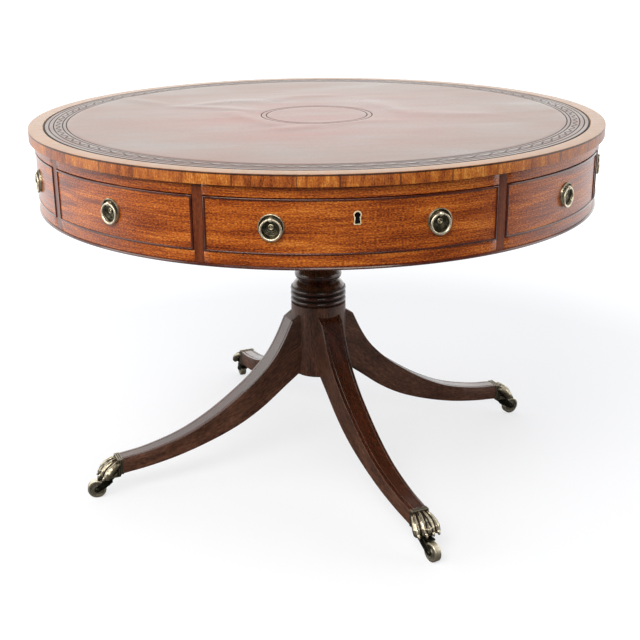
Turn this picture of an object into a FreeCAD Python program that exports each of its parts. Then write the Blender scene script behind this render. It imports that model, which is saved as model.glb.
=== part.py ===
# Drum table: a revolving round top with eight drawers on a turned column,
# four sabre legs, lion's paw caps and castors. All sizes are in millimetres.
import FreeCAD, Part
import math
import os

V = FreeCAD.Vector
ORIGIN = V(0, 0, 0)
UP = V(0, 0, 1)

# Overall sizes
TABLE_HEIGHT = 731.0
TOP_RADIUS = 550.0
OVERRUN = 20.0              # how far every cutting body runs past what it cuts
RUNNING_GAP = 0.3           # gap between pieces that slide or turn on one another
HOLE_GAP = 0.1              # radial play of a screw or shank in its hole
SHAFT_GAP = 0.05            # radial play of a turning shaft in its bore
SAME_POINT = 1e-6           # two points closer than this are one

# Top
TOP_THICKNESS = 20.0
TOP_SKIN = 1.5              # thickness of the leather and of the crossbanding round it
BANDING_WIDTH = 27.0
EDGE_BAND = 3.0             # thickness of the veneer round the edge
EDGE_ROUND = 1.2

# Drum
TOP_OVERHANG = 10.5         # of the top over the drum
FRIEZE_THICKNESS = 20.0
UPPER_RAIL_HEIGHT = 19.5
OPENING_HEIGHT = 90.0
LOWER_RAIL_HEIGHT = 18.5
FOOT_BEAD_HEIGHT = 5.5
FOOT_BEAD_PROUD = 2.5
STILE_WIDTH = 17.0
STILE_ANGLE = 26.7          # from the middle of a long drawer to the middle of a stile
FLOOR_THICKNESS = 16.0
PARTITION_THICKNESS = 9.0
BEARER_THICKNESS = 22.0
BEARER_NOTCH = 8.0          # how far a bearer reaches over the partition corner
HUB_WIDTH = 140.0           # across the flats of the eight-sided block
HUB_HEIGHT = 78.5
LONG_TURNS = (0, 90, 180, 270)
SHORT_TURNS = (45, 135, 225, 315)

# Drawers
FRONT_SIDE_GAP = 0.6
FRONT_TOP_GAP = 1.0
BEAD_THICKNESS = 3.2
BEAD_PROUD = 2.0
BOX_SIDE_GAP = 1.5          # between the drawer side and the partition
BOX_SIDE = 8.0
BOX_BACK = 7.0
BOX_BOTTOM = 6.0
BOX_BOTTOM_LIFT = 5.0       # the bottom board sits this far above the runner edge
BOX_TOP_GAP = 10.0          # the box stands this much lower than the opening
LONG_BACK_GAP = 17.2        # behind a long drawer, to the corner where two neighbours would meet
SHORT_BACK_HALF = 25.1      # half the width of a short drawer's back board

# Ring handles
HANDLE_ANGLE = 14.1         # from the middle of a long drawer
PLATE_RADIUS = 21.0
PLATE_FLOOR = 1.2
PLATE_RIM_WIDTH = 2.4
PLATE_RIM_HEIGHT = 3.4
PLATE_DISH_INSET = 0.9
BOSS_RADIUS = 4.5
BOSS_WIDTH = 2.2
BOSS_HEIGHT = 3.0
DOT_RADIUS = 1.5
DOT_HEIGHT = 2.4
EYE_LIFT = 12.3             # height of the eye above the middle of the plate
EYE_REACH = 5.7             # distance of the eye from the drawer face
EYE_RADIUS = 3.4
EYE_GAP = 0.35
POST_RADIUS = 2.4
SHANK_RADIUS = 2.0
NUT_WIDTH = 9.0
NUT_THICKNESS = 3.0
RING_RADIUS = 16.2          # to the middle of the wire
RING_WIRE_RADIUS = 1.8

# Locks and keyholes of the long drawers
ESCUTCHEON_LIFT = 13.5      # above the middle of the drawer front
ESCUTCHEON_HEIGHT = 24.0
ESCUTCHEON_WIDTH = 12.5
ESCUTCHEON_WAIST = 8.6
ESCUTCHEON_FOOT = 10.6
ESCUTCHEON_THICKNESS = 1.5
ESCUTCHEON_PROUD = 0.4
KEYHOLE_RADIUS = 2.4
KEYHOLE_LIFT = 3.4          # keyhole circle above the middle of the escutcheon
KEYHOLE_DROP = 10.0         # from the circle's middle to the foot of the slot
KEYHOLE_NECK = 2.6
KEYHOLE_FOOT = 4.2
LOCK_WIDTH = 42.0
LOCK_HEIGHT = 50.0
LOCK_DEPTH = 10.0           # into the back of the drawer front
LOCK_PROUD = 1.0            # the lock's back plate stands this far into the drawer
BOLT_WIDTH = 14.0
BOLT_DEPTH = 5.0
BOLT_LENGTH = 24.0
BOLT_THROW = 6.0
MORTISE_PLAY = 1.0

# Spindle on which the drum turns
SPINDLE_RADIUS = 14.0
SPINDLE_DEPTH = 100.0       # how far it goes down into the column
FLOOR_HOLE_PLAY = 1.0
NUT_RADIUS = 26.0
NUT_HEIGHT = 12.0

# Turned column, from the top down
COLUMN_TOP_RADIUS = 95.0
COLUMN_TOP_EDGE = 16.0
COLUMN_TOP_STEP = 6.0
VASE_TOP_RADIUS = 34.0
COVE_SINK = 14.0            # how far the cove under the top block is drawn in from a straight slope
VASE_RADIUS = 42.0
WAIST_RADIUS = 35.0
TORUS_RADIUS = 48.5
TORUS_HALF = 9.5
TORUS_FILLET = 2.0          # from the neck out to the root of the torus
NECK_RADIUS = 41.0
OVOLO_RADIUS = 50.0
DRUM_RADIUS = 56.3
REED_DEPTH = 1.8
REED_PROUD = 0.8
REED_PITCH = 11.6
REED_COUNT = 3

# Heights of the turnings and of the legs' joints, as shares of the height of the column
VASE_TOP_SHARE = 0.9057
VASE_SHARE = 0.8373
WAIST_SHARE = 0.7450
TORUS_SHARE = 0.6972
NECK_SHARE = 0.6767
OVOLO_SHARE = 0.6647
REED_TOP_SHARE = 0.6545
SHOULDER_SHARE = 0.5571
DOVETAIL_TOP_SHARE = 0.5332
DOVETAIL_BOTTOM_SHARE = 0.3623
COLUMN_BOTTOM_SHARE = 0.3366

# Sabre legs
BASE_TURN = 17.5            # the first leg's direction, from the middle of a long drawer
LEG_COUNT = 4
ANKLE_RADIUS = 438.0
LEG_WIDTH_TOP = 50.0
LEG_WIDTH_ANKLE = 33.0
SHOULDER_RISE = 38.0        # of the shoulder's slope, from there to the column's axis
ANKLE_TOP = 82.0            # height of the leg's top face where it meets its brass cap
ANKLE_BOTTOM = 50.0
LEG_TENON = 12.0            # how far the leg goes into its brass cap
TENON_DROP = 6.5            # from the leg's top face to the tenon's
LEG_GROOVE_WIDTH = 2.4
LEG_GROOVE_DEPTH = 1.2
LEG_BORDER = 5.5            # from the leg's side to the groove
DOVETAIL_DEPTH = 20.0
DOVETAIL_NECK = 20.0
DOVETAIL_FLARE = 28.0
DOVETAIL_LAP = 5.0          # how far the key is carried on into the leg
# Shares of the ankle radius and of the rise from the ankle to the shoulder, along the leg's two long curves
LEG_UPPER_SHARES = ((0.156, 0.967), (0.201, 0.800), (0.251, 0.659), (0.320, 0.528), (0.400, 0.409),
                    (0.548, 0.234), (0.700, 0.105), (0.868, 0.027), (1.0, 0.0))
LEG_LOWER_SHARES = ((1.0, 0.0), (0.868, 0.022), (0.731, 0.061), (0.594, 0.121), (0.479, 0.187),
                    (0.388, 0.255), (0.297, 0.345), (0.194, 0.471), (0.114, 0.565))

# Brass paw caps
CAP_WALL = 2.2
COLLAR_BACK = 5.0           # how far the collar reaches back over the leg
COLLAR_FRONT = 3.0
COLLAR_STEP = 0.8
PAW_HEEL = 14.0
PAW_LENGTH = 41.0
PAW_WIDTH = 35.0
PAW_INSTEP_LENGTH = 20.0
PAW_INSTEP = 74.0
PAW_TOE_TOP = 55.0
PAW_BOTTOM = 42.0
TOE_COUNT = 4
TOE_PITCH = 10.2
TOE_RADIUS = 6.3
TOE_BACK = 17.0             # from the ankle to the back end of a toe
TOE_FRONT = 42.0            # from the ankle to the centre of the toe's round tip
TOE_BACK_HEIGHT = 68.0
TOE_FRONT_HEIGHT = 52.5

# Castors
CASTOR_REACH = 24.0         # from the ankle to the swivel axis
CASTOR_REST_TURNS = (4, -6, -14, 7)
WHEEL_RADIUS = 18.5
WHEEL_WIDTH = 13.0
WHEEL_WEB = 8.0
WHEEL_RIM = 4.0
WHEEL_HUB_RADIUS = 6.0
WHEEL_ROUND = 1.2
WHEEL_TRAIL = 26.0
WHEEL_SIDE_GAP = 0.8
AXLE_RADIUS = 2.5
AXLE_HEAD_RADIUS = 4.0
AXLE_HEAD = 1.2
FORK_ARM = 3.0
FORK_PLATE_RADIUS = 9.5
FORK_PLATE = 5.0
FORK_EYE_RADIUS = 6.0
FORK_BACK = 6.0
FORK_BRIDGE_FRONT = 3.0
FORK_BRIDGE_HEIGHT = 9.0
STEM_RADIUS = 4.0
STEM_LENGTH = 18.0

# Heights and radii that follow from the sizes above
TOP_UNDERSIDE = TABLE_HEIGHT - TOP_THICKNESS
OPENING_TOP = TOP_UNDERSIDE - UPPER_RAIL_HEIGHT
OPENING_BOTTOM = OPENING_TOP - OPENING_HEIGHT
RAIL_BOTTOM = OPENING_BOTTOM - LOWER_RAIL_HEIGHT
DRUM_BOTTOM = RAIL_BOTTOM - FOOT_BEAD_HEIGHT
FLOOR_BOTTOM = OPENING_BOTTOM - FLOOR_THICKNESS
COLUMN_TOP = FLOOR_BOTTOM - RUNNING_GAP
FRIEZE_RADIUS = TOP_RADIUS - TOP_OVERHANG
FRIEZE_BACK = FRIEZE_RADIUS - FRIEZE_THICKNESS
DRUM_REACH = FRIEZE_RADIUS + OVERRUN
STILE_HALF_ANGLE = math.degrees(STILE_WIDTH / 2 / FRIEZE_RADIUS)
LONG_HALF = FRIEZE_RADIUS * math.sin(math.radians(STILE_ANGLE - STILE_HALF_ANGLE))
SHORT_HALF = FRIEZE_RADIUS * math.sin(math.radians(45 - STILE_ANGLE - STILE_HALF_ANGLE))
DRAWER_BOTTOM = OPENING_BOTTOM + RUNNING_GAP
DRAWER_TOP = OPENING_TOP - FRONT_TOP_GAP
DRAWER_MIDDLE = (OPENING_TOP + OPENING_BOTTOM) / 2
BOX_HEIGHT = OPENING_HEIGHT - BOX_TOP_GAP
LONG_BACK = LONG_HALF + LONG_BACK_GAP
SHORT_BACK = (LONG_HALF + PARTITION_THICKNESS + BOX_SIDE_GAP) * math.sqrt(2) + SHORT_BACK_HALF
HUB_TOP = OPENING_BOTTOM + HUB_HEIGHT
PLATE_SEAT = math.sqrt(FRIEZE_RADIUS ** 2 - PLATE_RADIUS ** 2)
WHEEL_HALF_SPACE = WHEEL_WIDTH / 2 + WHEEL_SIDE_GAP
VASE_TOP_HEIGHT = COLUMN_TOP * VASE_TOP_SHARE
VASE_HEIGHT = COLUMN_TOP * VASE_SHARE
WAIST_HEIGHT = COLUMN_TOP * WAIST_SHARE
TORUS_HEIGHT = COLUMN_TOP * TORUS_SHARE
NECK_HEIGHT = COLUMN_TOP * NECK_SHARE
OVOLO_HEIGHT = COLUMN_TOP * OVOLO_SHARE
REED_TOP = COLUMN_TOP * REED_TOP_SHARE
COLUMN_BOTTOM = COLUMN_TOP * COLUMN_BOTTOM_SHARE
SHOULDER_HEIGHT = COLUMN_TOP * SHOULDER_SHARE
DOVETAIL_TOP = COLUMN_TOP * DOVETAIL_TOP_SHARE
DOVETAIL_BOTTOM = COLUMN_TOP * DOVETAIL_BOTTOM_SHARE
CASTOR_RADIUS = ANKLE_RADIUS + CASTOR_REACH
LEG_TURNS = [BASE_TURN + number * 360 / LEG_COUNT for number in range(LEG_COUNT)]


def spun(shape, degrees):
    """A copy turned about the table's axis."""
    return shape.rotated(ORIGIN, UP, degrees)


def moved(shape, x, y, z):
    return shape.translated(V(x, y, z))


def block(x_range, y_range, z_range):
    """A box given by its three ranges."""
    size = [high - low for low, high in (x_range, y_range, z_range)]
    return Part.makeBox(*size, V(x_range[0], y_range[0], z_range[0]))


def drum(radius, bottom, top):
    """An upright cylinder on the table's axis."""
    return Part.makeCylinder(radius, top - bottom, V(0, 0, bottom))


def ring(inner, outer, bottom, top):
    return drum(outer, bottom, top).cut(drum(inner, bottom - OVERRUN, top + OVERRUN))


def outline(start, *steps):
    """A closed flat face in the XZ plane; a step is a point, or a (through, end) pair for an arc."""
    edges, here = [], V(start[0], 0, start[1])
    for step in steps + (start,):
        curved = isinstance(step[0], tuple)
        end = V(step[-1][0], 0, step[-1][1]) if curved else V(step[0], 0, step[1])
        if curved:
            edges.append(Part.Arc(here, V(step[0][0], 0, step[0][1]), end).toShape())
        elif (end - here).Length > SAME_POINT:
            edges.append(Part.LineSegment(here, end).toShape())
        here = end
    return Part.Face(Part.Wire(edges))


def turned(start, *steps):
    """A turning about the Z axis, from an outline of (radius, height) points."""
    return outline(start, *steps).revolve(ORIGIN, UP, 360)


def facing_out(shape):
    """Lays a Z turning over, so that its axis points along +X, out of a drawer front."""
    return shape.rotated(ORIGIN, V(0, 1, 0), 90)


def prism(points, bottom, top):
    """An upright prism on a plan outline."""
    wire = Part.makePolygon([V(x, y, bottom) for x, y in points + points[:1]])
    return Part.Face(wire).extrude(V(0, 0, top - bottom))


def save(name, *solids):
    Part.makeCompound(list(solids)).exportStep("parts/%s.step" % name)


# Top

def make_top():
    skin = TABLE_HEIGHT - TOP_SKIN
    leather_radius = TOP_RADIUS - BANDING_WIDTH
    board_radius = TOP_RADIUS - EDGE_BAND
    save("top_board", drum(board_radius, TOP_UNDERSIDE, skin))
    save("leather_top", drum(leather_radius, skin, TABLE_HEIGHT))
    corner = EDGE_ROUND * (1 - math.sqrt(0.5))
    shoulder = TOP_RADIUS - EDGE_ROUND
    edge = turned((board_radius, TOP_UNDERSIDE), (TOP_RADIUS, TOP_UNDERSIDE),
                  (TOP_RADIUS, TABLE_HEIGHT - EDGE_ROUND),
                  ((TOP_RADIUS - corner, TABLE_HEIGHT - corner), (shoulder, TABLE_HEIGHT)),
                  (board_radius, TABLE_HEIGHT))
    save("top_banding", ring(leather_radius, board_radius, skin, TABLE_HEIGHT), edge)


# Drum carcase

def curved_front(half_width, bottom, top, inner, outer):
    """A piece of the drum's wall facing +X, with its two ends parallel to the way a drawer slides."""
    wall = ring(inner, outer, bottom, top)
    return wall.common(block((0, outer + OVERRUN), (-half_width, half_width), (bottom - OVERRUN, top + OVERRUN)))


def bays(bottom, top, inner, outer):
    """Eight pieces of the drum's wall, one over each drawer, that stop at the stiles."""
    long_bay = curved_front(LONG_HALF, bottom, top, inner, outer)
    short_bay = curved_front(SHORT_HALF, bottom, top, inner, outer)
    return [spun(long_bay, turn) for turn in LONG_TURNS] + [spun(short_bay, turn) for turn in SHORT_TURNS]


def lock_slot(play, bottom, top):
    """The space of a lock bolt that faces +X, with play all round it."""
    middle = FRIEZE_BACK + LOCK_DEPTH / 2
    half_depth = BOLT_DEPTH / 2 + play
    half_width = BOLT_WIDTH / 2 + play
    return block((middle - half_depth, middle + half_depth), (-half_width, half_width), (bottom, top))


def make_rails():
    upper = bays(OPENING_TOP, TOP_UNDERSIDE, FRIEZE_BACK, FRIEZE_RADIUS)
    mortise_top = DRAWER_TOP + BOLT_THROW + MORTISE_PLAY
    mortise = lock_slot(MORTISE_PLAY, OPENING_TOP - OVERRUN, mortise_top)
    for number, turn in enumerate(LONG_TURNS):
        upper[number] = upper[number].cut(spun(mortise, turn))
    save("upper_rail", *upper)
    lower = bays(RAIL_BOTTOM, OPENING_BOTTOM, FRIEZE_BACK, FRIEZE_RADIUS)
    foot_bead = ring(FRIEZE_BACK, FRIEZE_RADIUS + FOOT_BEAD_PROUD, DRUM_BOTTOM, RAIL_BOTTOM)
    quarter = block((0, DRUM_REACH), (0, DRUM_REACH), (DRUM_BOTTOM - OVERRUN, RAIL_BOTTOM + OVERRUN))
    save("lower_rail", *lower, *[foot_bead.common(spun(quarter, turn)) for turn in LONG_TURNS])


def make_stiles():
    wall = ring(FRIEZE_BACK, FRIEZE_RADIUS, RAIL_BOTTOM, TOP_UNDERSIDE)
    heights = (RAIL_BOTTOM - OVERRUN, TOP_UNDERSIDE + OVERRUN)
    for half, turns in ((LONG_HALF, (0, 90)), (SHORT_HALF, (45, 135))):
        bay = block((-DRUM_REACH, DRUM_REACH), (-half, half), heights)
        for turn in turns:
            wall = wall.cut(spun(bay, turn))
    save("stiles", *wall.Solids)


def partitions():
    """Two guide boards meet in a mitre behind each short drawer, beside the two long ones."""
    inner, outer = LONG_HALF, LONG_HALF + PARTITION_THICKNESS
    reach = FRIEZE_BACK
    board = prism([(inner, inner), (reach, inner), (reach, outer), (outer, outer)], OPENING_BOTTOM, TOP_UNDERSIDE)
    board = board.common(drum(FRIEZE_BACK - RUNNING_GAP, OPENING_BOTTOM - OVERRUN, TOP_UNDERSIDE + OVERRUN))
    mirrored = board.mirror(ORIGIN, V(1, -1, 0))
    return [spun(piece, turn) for turn in LONG_TURNS for piece in (board, mirrored)]


def make_carcase():
    bore = SPINDLE_RADIUS + FLOOR_HOLE_PLAY
    save("drum_floor", ring(bore, FRIEZE_BACK, FLOOR_BOTTOM, OPENING_BOTTOM))
    boards = partitions()
    save("partitions", *boards)
    corner_radius = HUB_WIDTH / 2 / math.cos(math.radians(22.5))
    corners = [(corner_radius * math.cos(math.radians(22.5 + 45 * step)),
                corner_radius * math.sin(math.radians(22.5 + 45 * step))) for step in range(8)]
    hub = prism(corners, OPENING_BOTTOM, HUB_TOP)
    hub = hub.cut(drum(SPINDLE_RADIUS + SHAFT_GAP, OPENING_BOTTOM - OVERRUN, HUB_TOP + OVERRUN))
    reach = LONG_HALF * math.sqrt(2) + BEARER_NOTCH
    half = BEARER_THICKNESS / 2
    bearer = spun(block((HUB_WIDTH / 2, reach), (-half, half), (OPENING_BOTTOM, TOP_UNDERSIDE)), 45)
    bearer = bearer.cut(boards[0]).cut(boards[1])
    save("hub_block", hub, *[spun(bearer, turn) for turn in LONG_TURNS])


# Ring handles, built with the drawer face at x = 0 and the plate's middle at the origin

def handle_plate():
    rim = PLATE_RADIUS - PLATE_RIM_WIDTH / 2
    rim_inside = PLATE_RADIUS - PLATE_RIM_WIDTH
    rim_base = PLATE_RIM_HEIGHT - PLATE_RIM_WIDTH / 2
    boss_outside = BOSS_RADIUS + BOSS_WIDTH / 2
    boss_inside = BOSS_RADIUS - BOSS_WIDTH / 2
    plate = turned((0, 0), (PLATE_RADIUS, 0), (PLATE_RADIUS, rim_base),
                   ((rim, PLATE_RIM_HEIGHT), (rim_inside, rim_base)),
                   (rim_inside - PLATE_DISH_INSET, PLATE_FLOOR), (boss_outside, PLATE_FLOOR),
                   ((BOSS_RADIUS, BOSS_HEIGHT), (boss_inside, PLATE_FLOOR)),
                   (DOT_RADIUS, PLATE_FLOOR), (0, DOT_HEIGHT))
    hole = facing_out(drum(SHANK_RADIUS, -OVERRUN, OVERRUN))
    return facing_out(plate).cut(moved(hole, 0, 0, EYE_LIFT))


def handle_post():
    """A post with an eye for the ring, and a shank that goes through the drawer front to a nut."""
    shank_end = -FRIEZE_THICKNESS - NUT_THICKNESS
    stem = facing_out(drum(POST_RADIUS, PLATE_FLOOR, EYE_REACH))
    shank = facing_out(drum(SHANK_RADIUS, shank_end, PLATE_FLOOR))
    ball = Part.makeSphere(EYE_RADIUS, V(EYE_REACH, 0, 0))
    eye = Part.makeCylinder(RING_WIRE_RADIUS + EYE_GAP, 2 * OVERRUN, V(EYE_REACH, -OVERRUN, 0), V(0, 1, 0))
    post = stem.fuse([shank, ball]).cut(eye)
    half = NUT_WIDTH / 2
    seat = math.sqrt(FRIEZE_BACK ** 2 - half ** 2) - PLATE_SEAT
    nut = block((seat - NUT_THICKNESS, seat), (-half, half), (-half, half))
    nut = nut.cut(facing_out(drum(SHANK_RADIUS, shank_end - OVERRUN, OVERRUN)))
    return moved(post, 0, 0, EYE_LIFT), moved(nut, 0, 0, EYE_LIFT)


def handle_ring():
    return Part.makeTorus(RING_RADIUS, RING_WIRE_RADIUS, V(EYE_REACH, 0, EYE_LIFT - RING_RADIUS), V(1, 0, 0))


def handle_cut():
    """What the drawer front loses for a handle: a flat seat for the plate and a hole for the shank."""
    seat = facing_out(drum(PLATE_RADIUS + HOLE_GAP, 0, OVERRUN))
    hole = facing_out(drum(SHANK_RADIUS + HOLE_GAP, -OVERRUN - FRIEZE_THICKNESS, OVERRUN))
    return seat.fuse(moved(hole, 0, 0, EYE_LIFT))


def on_front(shape, angle):
    """Moves a handle's piece onto a drawer front that faces +X, at an angle from its middle."""
    return spun(moved(shape, PLATE_SEAT, 0, DRAWER_MIDDLE), angle)


# Drawer fronts

def keyhole(depth):
    """A round hole over a flared slot, cut into the face x = 0 by depth and centred on its circle."""
    circle = facing_out(drum(KEYHOLE_RADIUS, -depth, OVERRUN))
    neck, foot = KEYHOLE_NECK / 2, KEYHOLE_FOOT / 2
    corners = [V(-depth, -neck, 0), V(-depth, neck, 0), V(-depth, foot, -KEYHOLE_DROP), V(-depth, -foot, -KEYHOLE_DROP)]
    slot = Part.Face(Part.makePolygon(corners + corners[:1])).extrude(V(depth + OVERRUN, 0, 0))
    return circle.fuse(slot)


def escutcheon():
    """A waisted bone plate let into the drawer front, its middle at the origin."""
    half, waist, foot = ESCUTCHEON_WIDTH / 2, ESCUTCHEON_WAIST / 2, ESCUTCHEON_FOOT / 2
    top, bottom = ESCUTCHEON_HEIGHT / 2, -ESCUTCHEON_HEIGHT / 2
    shoulder = top - half
    plate = outline((-foot, bottom), (foot, bottom), ((waist, (shoulder + bottom) / 2), (half, shoulder)),
                    ((0, top), (-half, shoulder)), ((-waist, (shoulder + bottom) / 2), (-foot, bottom)))
    plate = plate.rotated(ORIGIN, UP, 90).extrude(V(ESCUTCHEON_THICKNESS, 0, 0))
    return moved(plate, ESCUTCHEON_PROUD - ESCUTCHEON_THICKNESS, 0, 0)


def on_lock(shape):
    return moved(shape, FRIEZE_RADIUS, 0, DRAWER_MIDDLE + ESCUTCHEON_LIFT)


def lock_space(top_overrun):
    """The lock's case; as a cut it runs past the top edge of the drawer front."""
    return block((FRIEZE_BACK - LOCK_PROUD, FRIEZE_BACK + LOCK_DEPTH), (-LOCK_WIDTH / 2, LOCK_WIDTH / 2),
                 (DRAWER_TOP - LOCK_HEIGHT, DRAWER_TOP + top_overrun))


def drawer_front(opening_half):
    """The veneered panel and the cock bead frame round its edge."""
    half = opening_half - FRONT_SIDE_GAP
    inset = half - BEAD_THICKNESS
    low, high = DRAWER_BOTTOM + BEAD_THICKNESS, DRAWER_TOP - BEAD_THICKNESS
    whole = curved_front(half, DRAWER_BOTTOM, DRAWER_TOP, FRIEZE_BACK, FRIEZE_RADIUS + BEAD_PROUD)
    bead = whole.cut(block((0, DRUM_REACH), (-inset, inset), (low, high)))
    panel = curved_front(inset, low, high, FRIEZE_BACK, FRIEZE_RADIUS)
    return panel, bead


def long_front():
    panel, bead = drawer_front(LONG_HALF)
    for side in (-1, 1):
        panel = panel.cut(on_front(handle_cut(), side * HANDLE_ANGLE))
    lock = lock_space(OVERRUN)
    keyway = moved(keyhole(FRIEZE_THICKNESS), 0, 0, KEYHOLE_LIFT)
    panel = panel.cut(lock).cut(on_lock(escutcheon())).cut(on_lock(keyway))
    return panel, bead.cut(lock)


def long_fittings():
    """Two handle plates with their posts and nuts, the escutcheon and the lock's case."""
    pieces = []
    for side in (-1, 1):
        for piece in (handle_plate(), *handle_post()):
            pieces.append(on_front(piece, side * HANDLE_ANGLE))
    keyway = moved(keyhole(FRIEZE_THICKNESS), 0, 0, KEYHOLE_LIFT)
    bolt_way = lock_slot(RUNNING_GAP, DRAWER_TOP - BOLT_LENGTH - RUNNING_GAP, DRAWER_TOP + OVERRUN)
    case = lock_space(0).cut(bolt_way).cut(on_lock(moved(keyhole(FRIEZE_THICKNESS - LOCK_DEPTH / 2),
                                                        0, 0, KEYHOLE_LIFT)))
    return pieces + [on_lock(escutcheon().cut(keyway)), case]


def lock_bolt():
    return lock_slot(0, DRAWER_TOP - BOLT_LENGTH, DRAWER_TOP)


def long_box():
    """Two sides, a back and a bottom, behind a front that faces +X."""
    half = LONG_HALF - BOX_SIDE_GAP
    inner = half - BOX_SIDE
    top = DRAWER_BOTTOM + BOX_HEIGHT
    within = drum(FRIEZE_BACK, DRAWER_BOTTOM - OVERRUN, top + OVERRUN)
    side = block((LONG_BACK, FRIEZE_BACK), (inner, half), (DRAWER_BOTTOM, top)).common(within)
    back = block((LONG_BACK, LONG_BACK + BOX_BACK), (-inner, inner), (DRAWER_BOTTOM, top))
    low = DRAWER_BOTTOM + BOX_BOTTOM_LIFT
    bottom = block((LONG_BACK + BOX_BACK, FRIEZE_BACK), (-inner, inner), (low, low + BOX_BOTTOM)).common(within)
    return side, side.mirror(ORIGIN, V(0, 1, 0)), back, bottom


def short_box():
    """A wedge-shaped box: its sides lie along the neighbouring long drawers and meet a narrow back."""
    skew = math.sqrt(2)
    outer = (LONG_HALF + PARTITION_THICKNESS + BOX_SIDE_GAP) * skew
    inner = outer + BOX_SIDE * skew
    front, back = FRIEZE_RADIUS, SHORT_BACK + BOX_BACK
    top = DRAWER_BOTTOM + BOX_HEIGHT
    low = DRAWER_BOTTOM + BOX_BOTTOM_LIFT
    within = drum(FRIEZE_BACK, DRAWER_BOTTOM - OVERRUN, top + OVERRUN)
    side = prism([(SHORT_BACK, SHORT_BACK - outer), (front, front - outer), (front, front - inner),
                  (SHORT_BACK, SHORT_BACK - inner)], DRAWER_BOTTOM, top).common(within)
    back_board = prism([(SHORT_BACK, inner - SHORT_BACK), (SHORT_BACK, SHORT_BACK - inner),
                        (back, back - inner), (back, inner - back)], DRAWER_BOTTOM, top)
    bottom = prism([(back, inner - back), (back, back - inner), (front, front - inner), (front, inner - front)],
                   low, low + BOX_BOTTOM).common(within)
    return side, side.mirror(ORIGIN, V(0, 1, 0)), back_board, bottom


def make_long_drawers():
    panel, bead = long_front()
    box = long_box()
    fittings = long_fittings()
    bolt = lock_bolt()
    ring_wire = handle_ring()
    for number, turn in enumerate(LONG_TURNS, start=1):
        save("long_drawer_front_%d" % number, spun(panel, turn), spun(bead, turn))
        save("long_drawer_box_%d" % number, *[spun(board, turn) for board in box])
        save("long_drawer_fittings_%d" % number, *[spun(piece, turn) for piece in fittings])
        save("lock_bolt_%d" % number, spun(bolt, turn))
        for side, angle in enumerate((-HANDLE_ANGLE, HANDLE_ANGLE), start=1):
            save("ring_handle_%d" % (2 * number - 2 + side), spun(on_front(ring_wire, angle), turn))


def make_short_drawers():
    panel, bead = drawer_front(SHORT_HALF)
    panel = panel.cut(on_front(handle_cut(), 0))
    solids = (panel, bead, *short_box())
    fittings = [on_front(piece, 0) for piece in (handle_plate(), *handle_post())]
    ring_wire = on_front(handle_ring(), 0)
    first_ring = 2 * len(LONG_TURNS) + 1
    for number, turn in enumerate(SHORT_TURNS):
        save("short_drawer_%d" % (number + 1), *[spun(piece, turn) for piece in solids])
        save("short_drawer_fittings_%d" % (number + 1), *[spun(piece, turn) for piece in fittings])
        save("ring_handle_%d" % (first_ring + number), spun(ring_wire, turn))


# Base: the legs are built along +X and then turned into place

def curve(points):
    spline = Part.BSplineCurve()
    spline.interpolate(points)
    return spline.toShape()


def polyline(*points):
    return [Part.LineSegment(here, there).toShape() for here, there in zip(points, points[1:])]


def leg_points(shares, ankle):
    rise = SHOULDER_HEIGHT - ankle
    return [V(across * ANKLE_RADIUS, 0, ankle + up * rise) for across, up in shares]


def leg_sides(inset, depth=None):
    """Upright bodies that follow the taper of the leg's sides, as a whole or as two strips of a depth."""
    bottom, top = -OVERRUN, SHOULDER_HEIGHT + OVERRUN
    near, far = LEG_WIDTH_TOP / 2 - inset, LEG_WIDTH_ANKLE / 2 - inset
    if depth is None:
        return prism([(0, -near), (ANKLE_RADIUS, -far), (ANKLE_RADIUS, far), (0, near)], bottom, top)
    strip = prism([(0, near - depth), (ANKLE_RADIUS, far - depth), (ANKLE_RADIUS, far), (0, near)], bottom, top)
    return strip.fuse(strip.mirror(ORIGIN, V(0, 1, 0)))


def widened(edges):
    """A face in the leg's middle plane, made as wide as the leg is at its widest."""
    face = Part.Face(Part.Wire(edges))
    return face.extrude(V(0, LEG_WIDTH_TOP, 0)).translated(V(0, -LEG_WIDTH_TOP / 2, 0))


def dovetail(length):
    """The key that holds a leg in the column; it reaches out by length from the column's face."""
    root, face = DRUM_RADIUS - DOVETAIL_DEPTH, DRUM_RADIUS + length
    flare, neck = DOVETAIL_FLARE / 2, DOVETAIL_NECK / 2
    return prism([(root, -flare), (face, -neck), (face, neck), (root, flare)], DOVETAIL_BOTTOM, DOVETAIL_TOP)


def make_leg():
    upper, lower = leg_points(LEG_UPPER_SHARES, ANKLE_TOP), leg_points(LEG_LOWER_SHARES, ANKLE_BOTTOM)
    shoulder = V(0, 0, SHOULDER_HEIGHT + SHOULDER_RISE)
    inside = V(0, 0, lower[-1].z)
    edges = [curve(upper), *polyline(upper[-1], lower[0]), curve(lower),
             *polyline(lower[-1], inside, shoulder, upper[0])]
    leg = widened(edges).common(leg_sides(0))
    drop = V(0, 0, -LEG_GROOVE_DEPTH)
    lift = V(0, 0, OVERRUN)
    raised, lowered = [point + lift for point in upper], [point + drop for point in upper]
    groove = [curve(raised), *polyline(raised[-1], lowered[-1]), curve(lowered), *polyline(lowered[0], raised[0])]
    leg = leg.cut(widened(groove).common(leg_sides(LEG_BORDER, LEG_GROOVE_WIDTH)))
    leg = leg.cut(drum(DRUM_RADIUS, -OVERRUN, TABLE_HEIGHT)).fuse(dovetail(DOVETAIL_LAP))
    tenon_half = LEG_WIDTH_ANKLE / 2 - CAP_WALL
    tenon = block((ANKLE_RADIUS - OVERRUN, ANKLE_RADIUS + LEG_TENON), (-tenon_half, tenon_half),
                  (ANKLE_BOTTOM + CAP_WALL, ANKLE_TOP - TENON_DROP))
    return leg.fuse(tenon)


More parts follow.
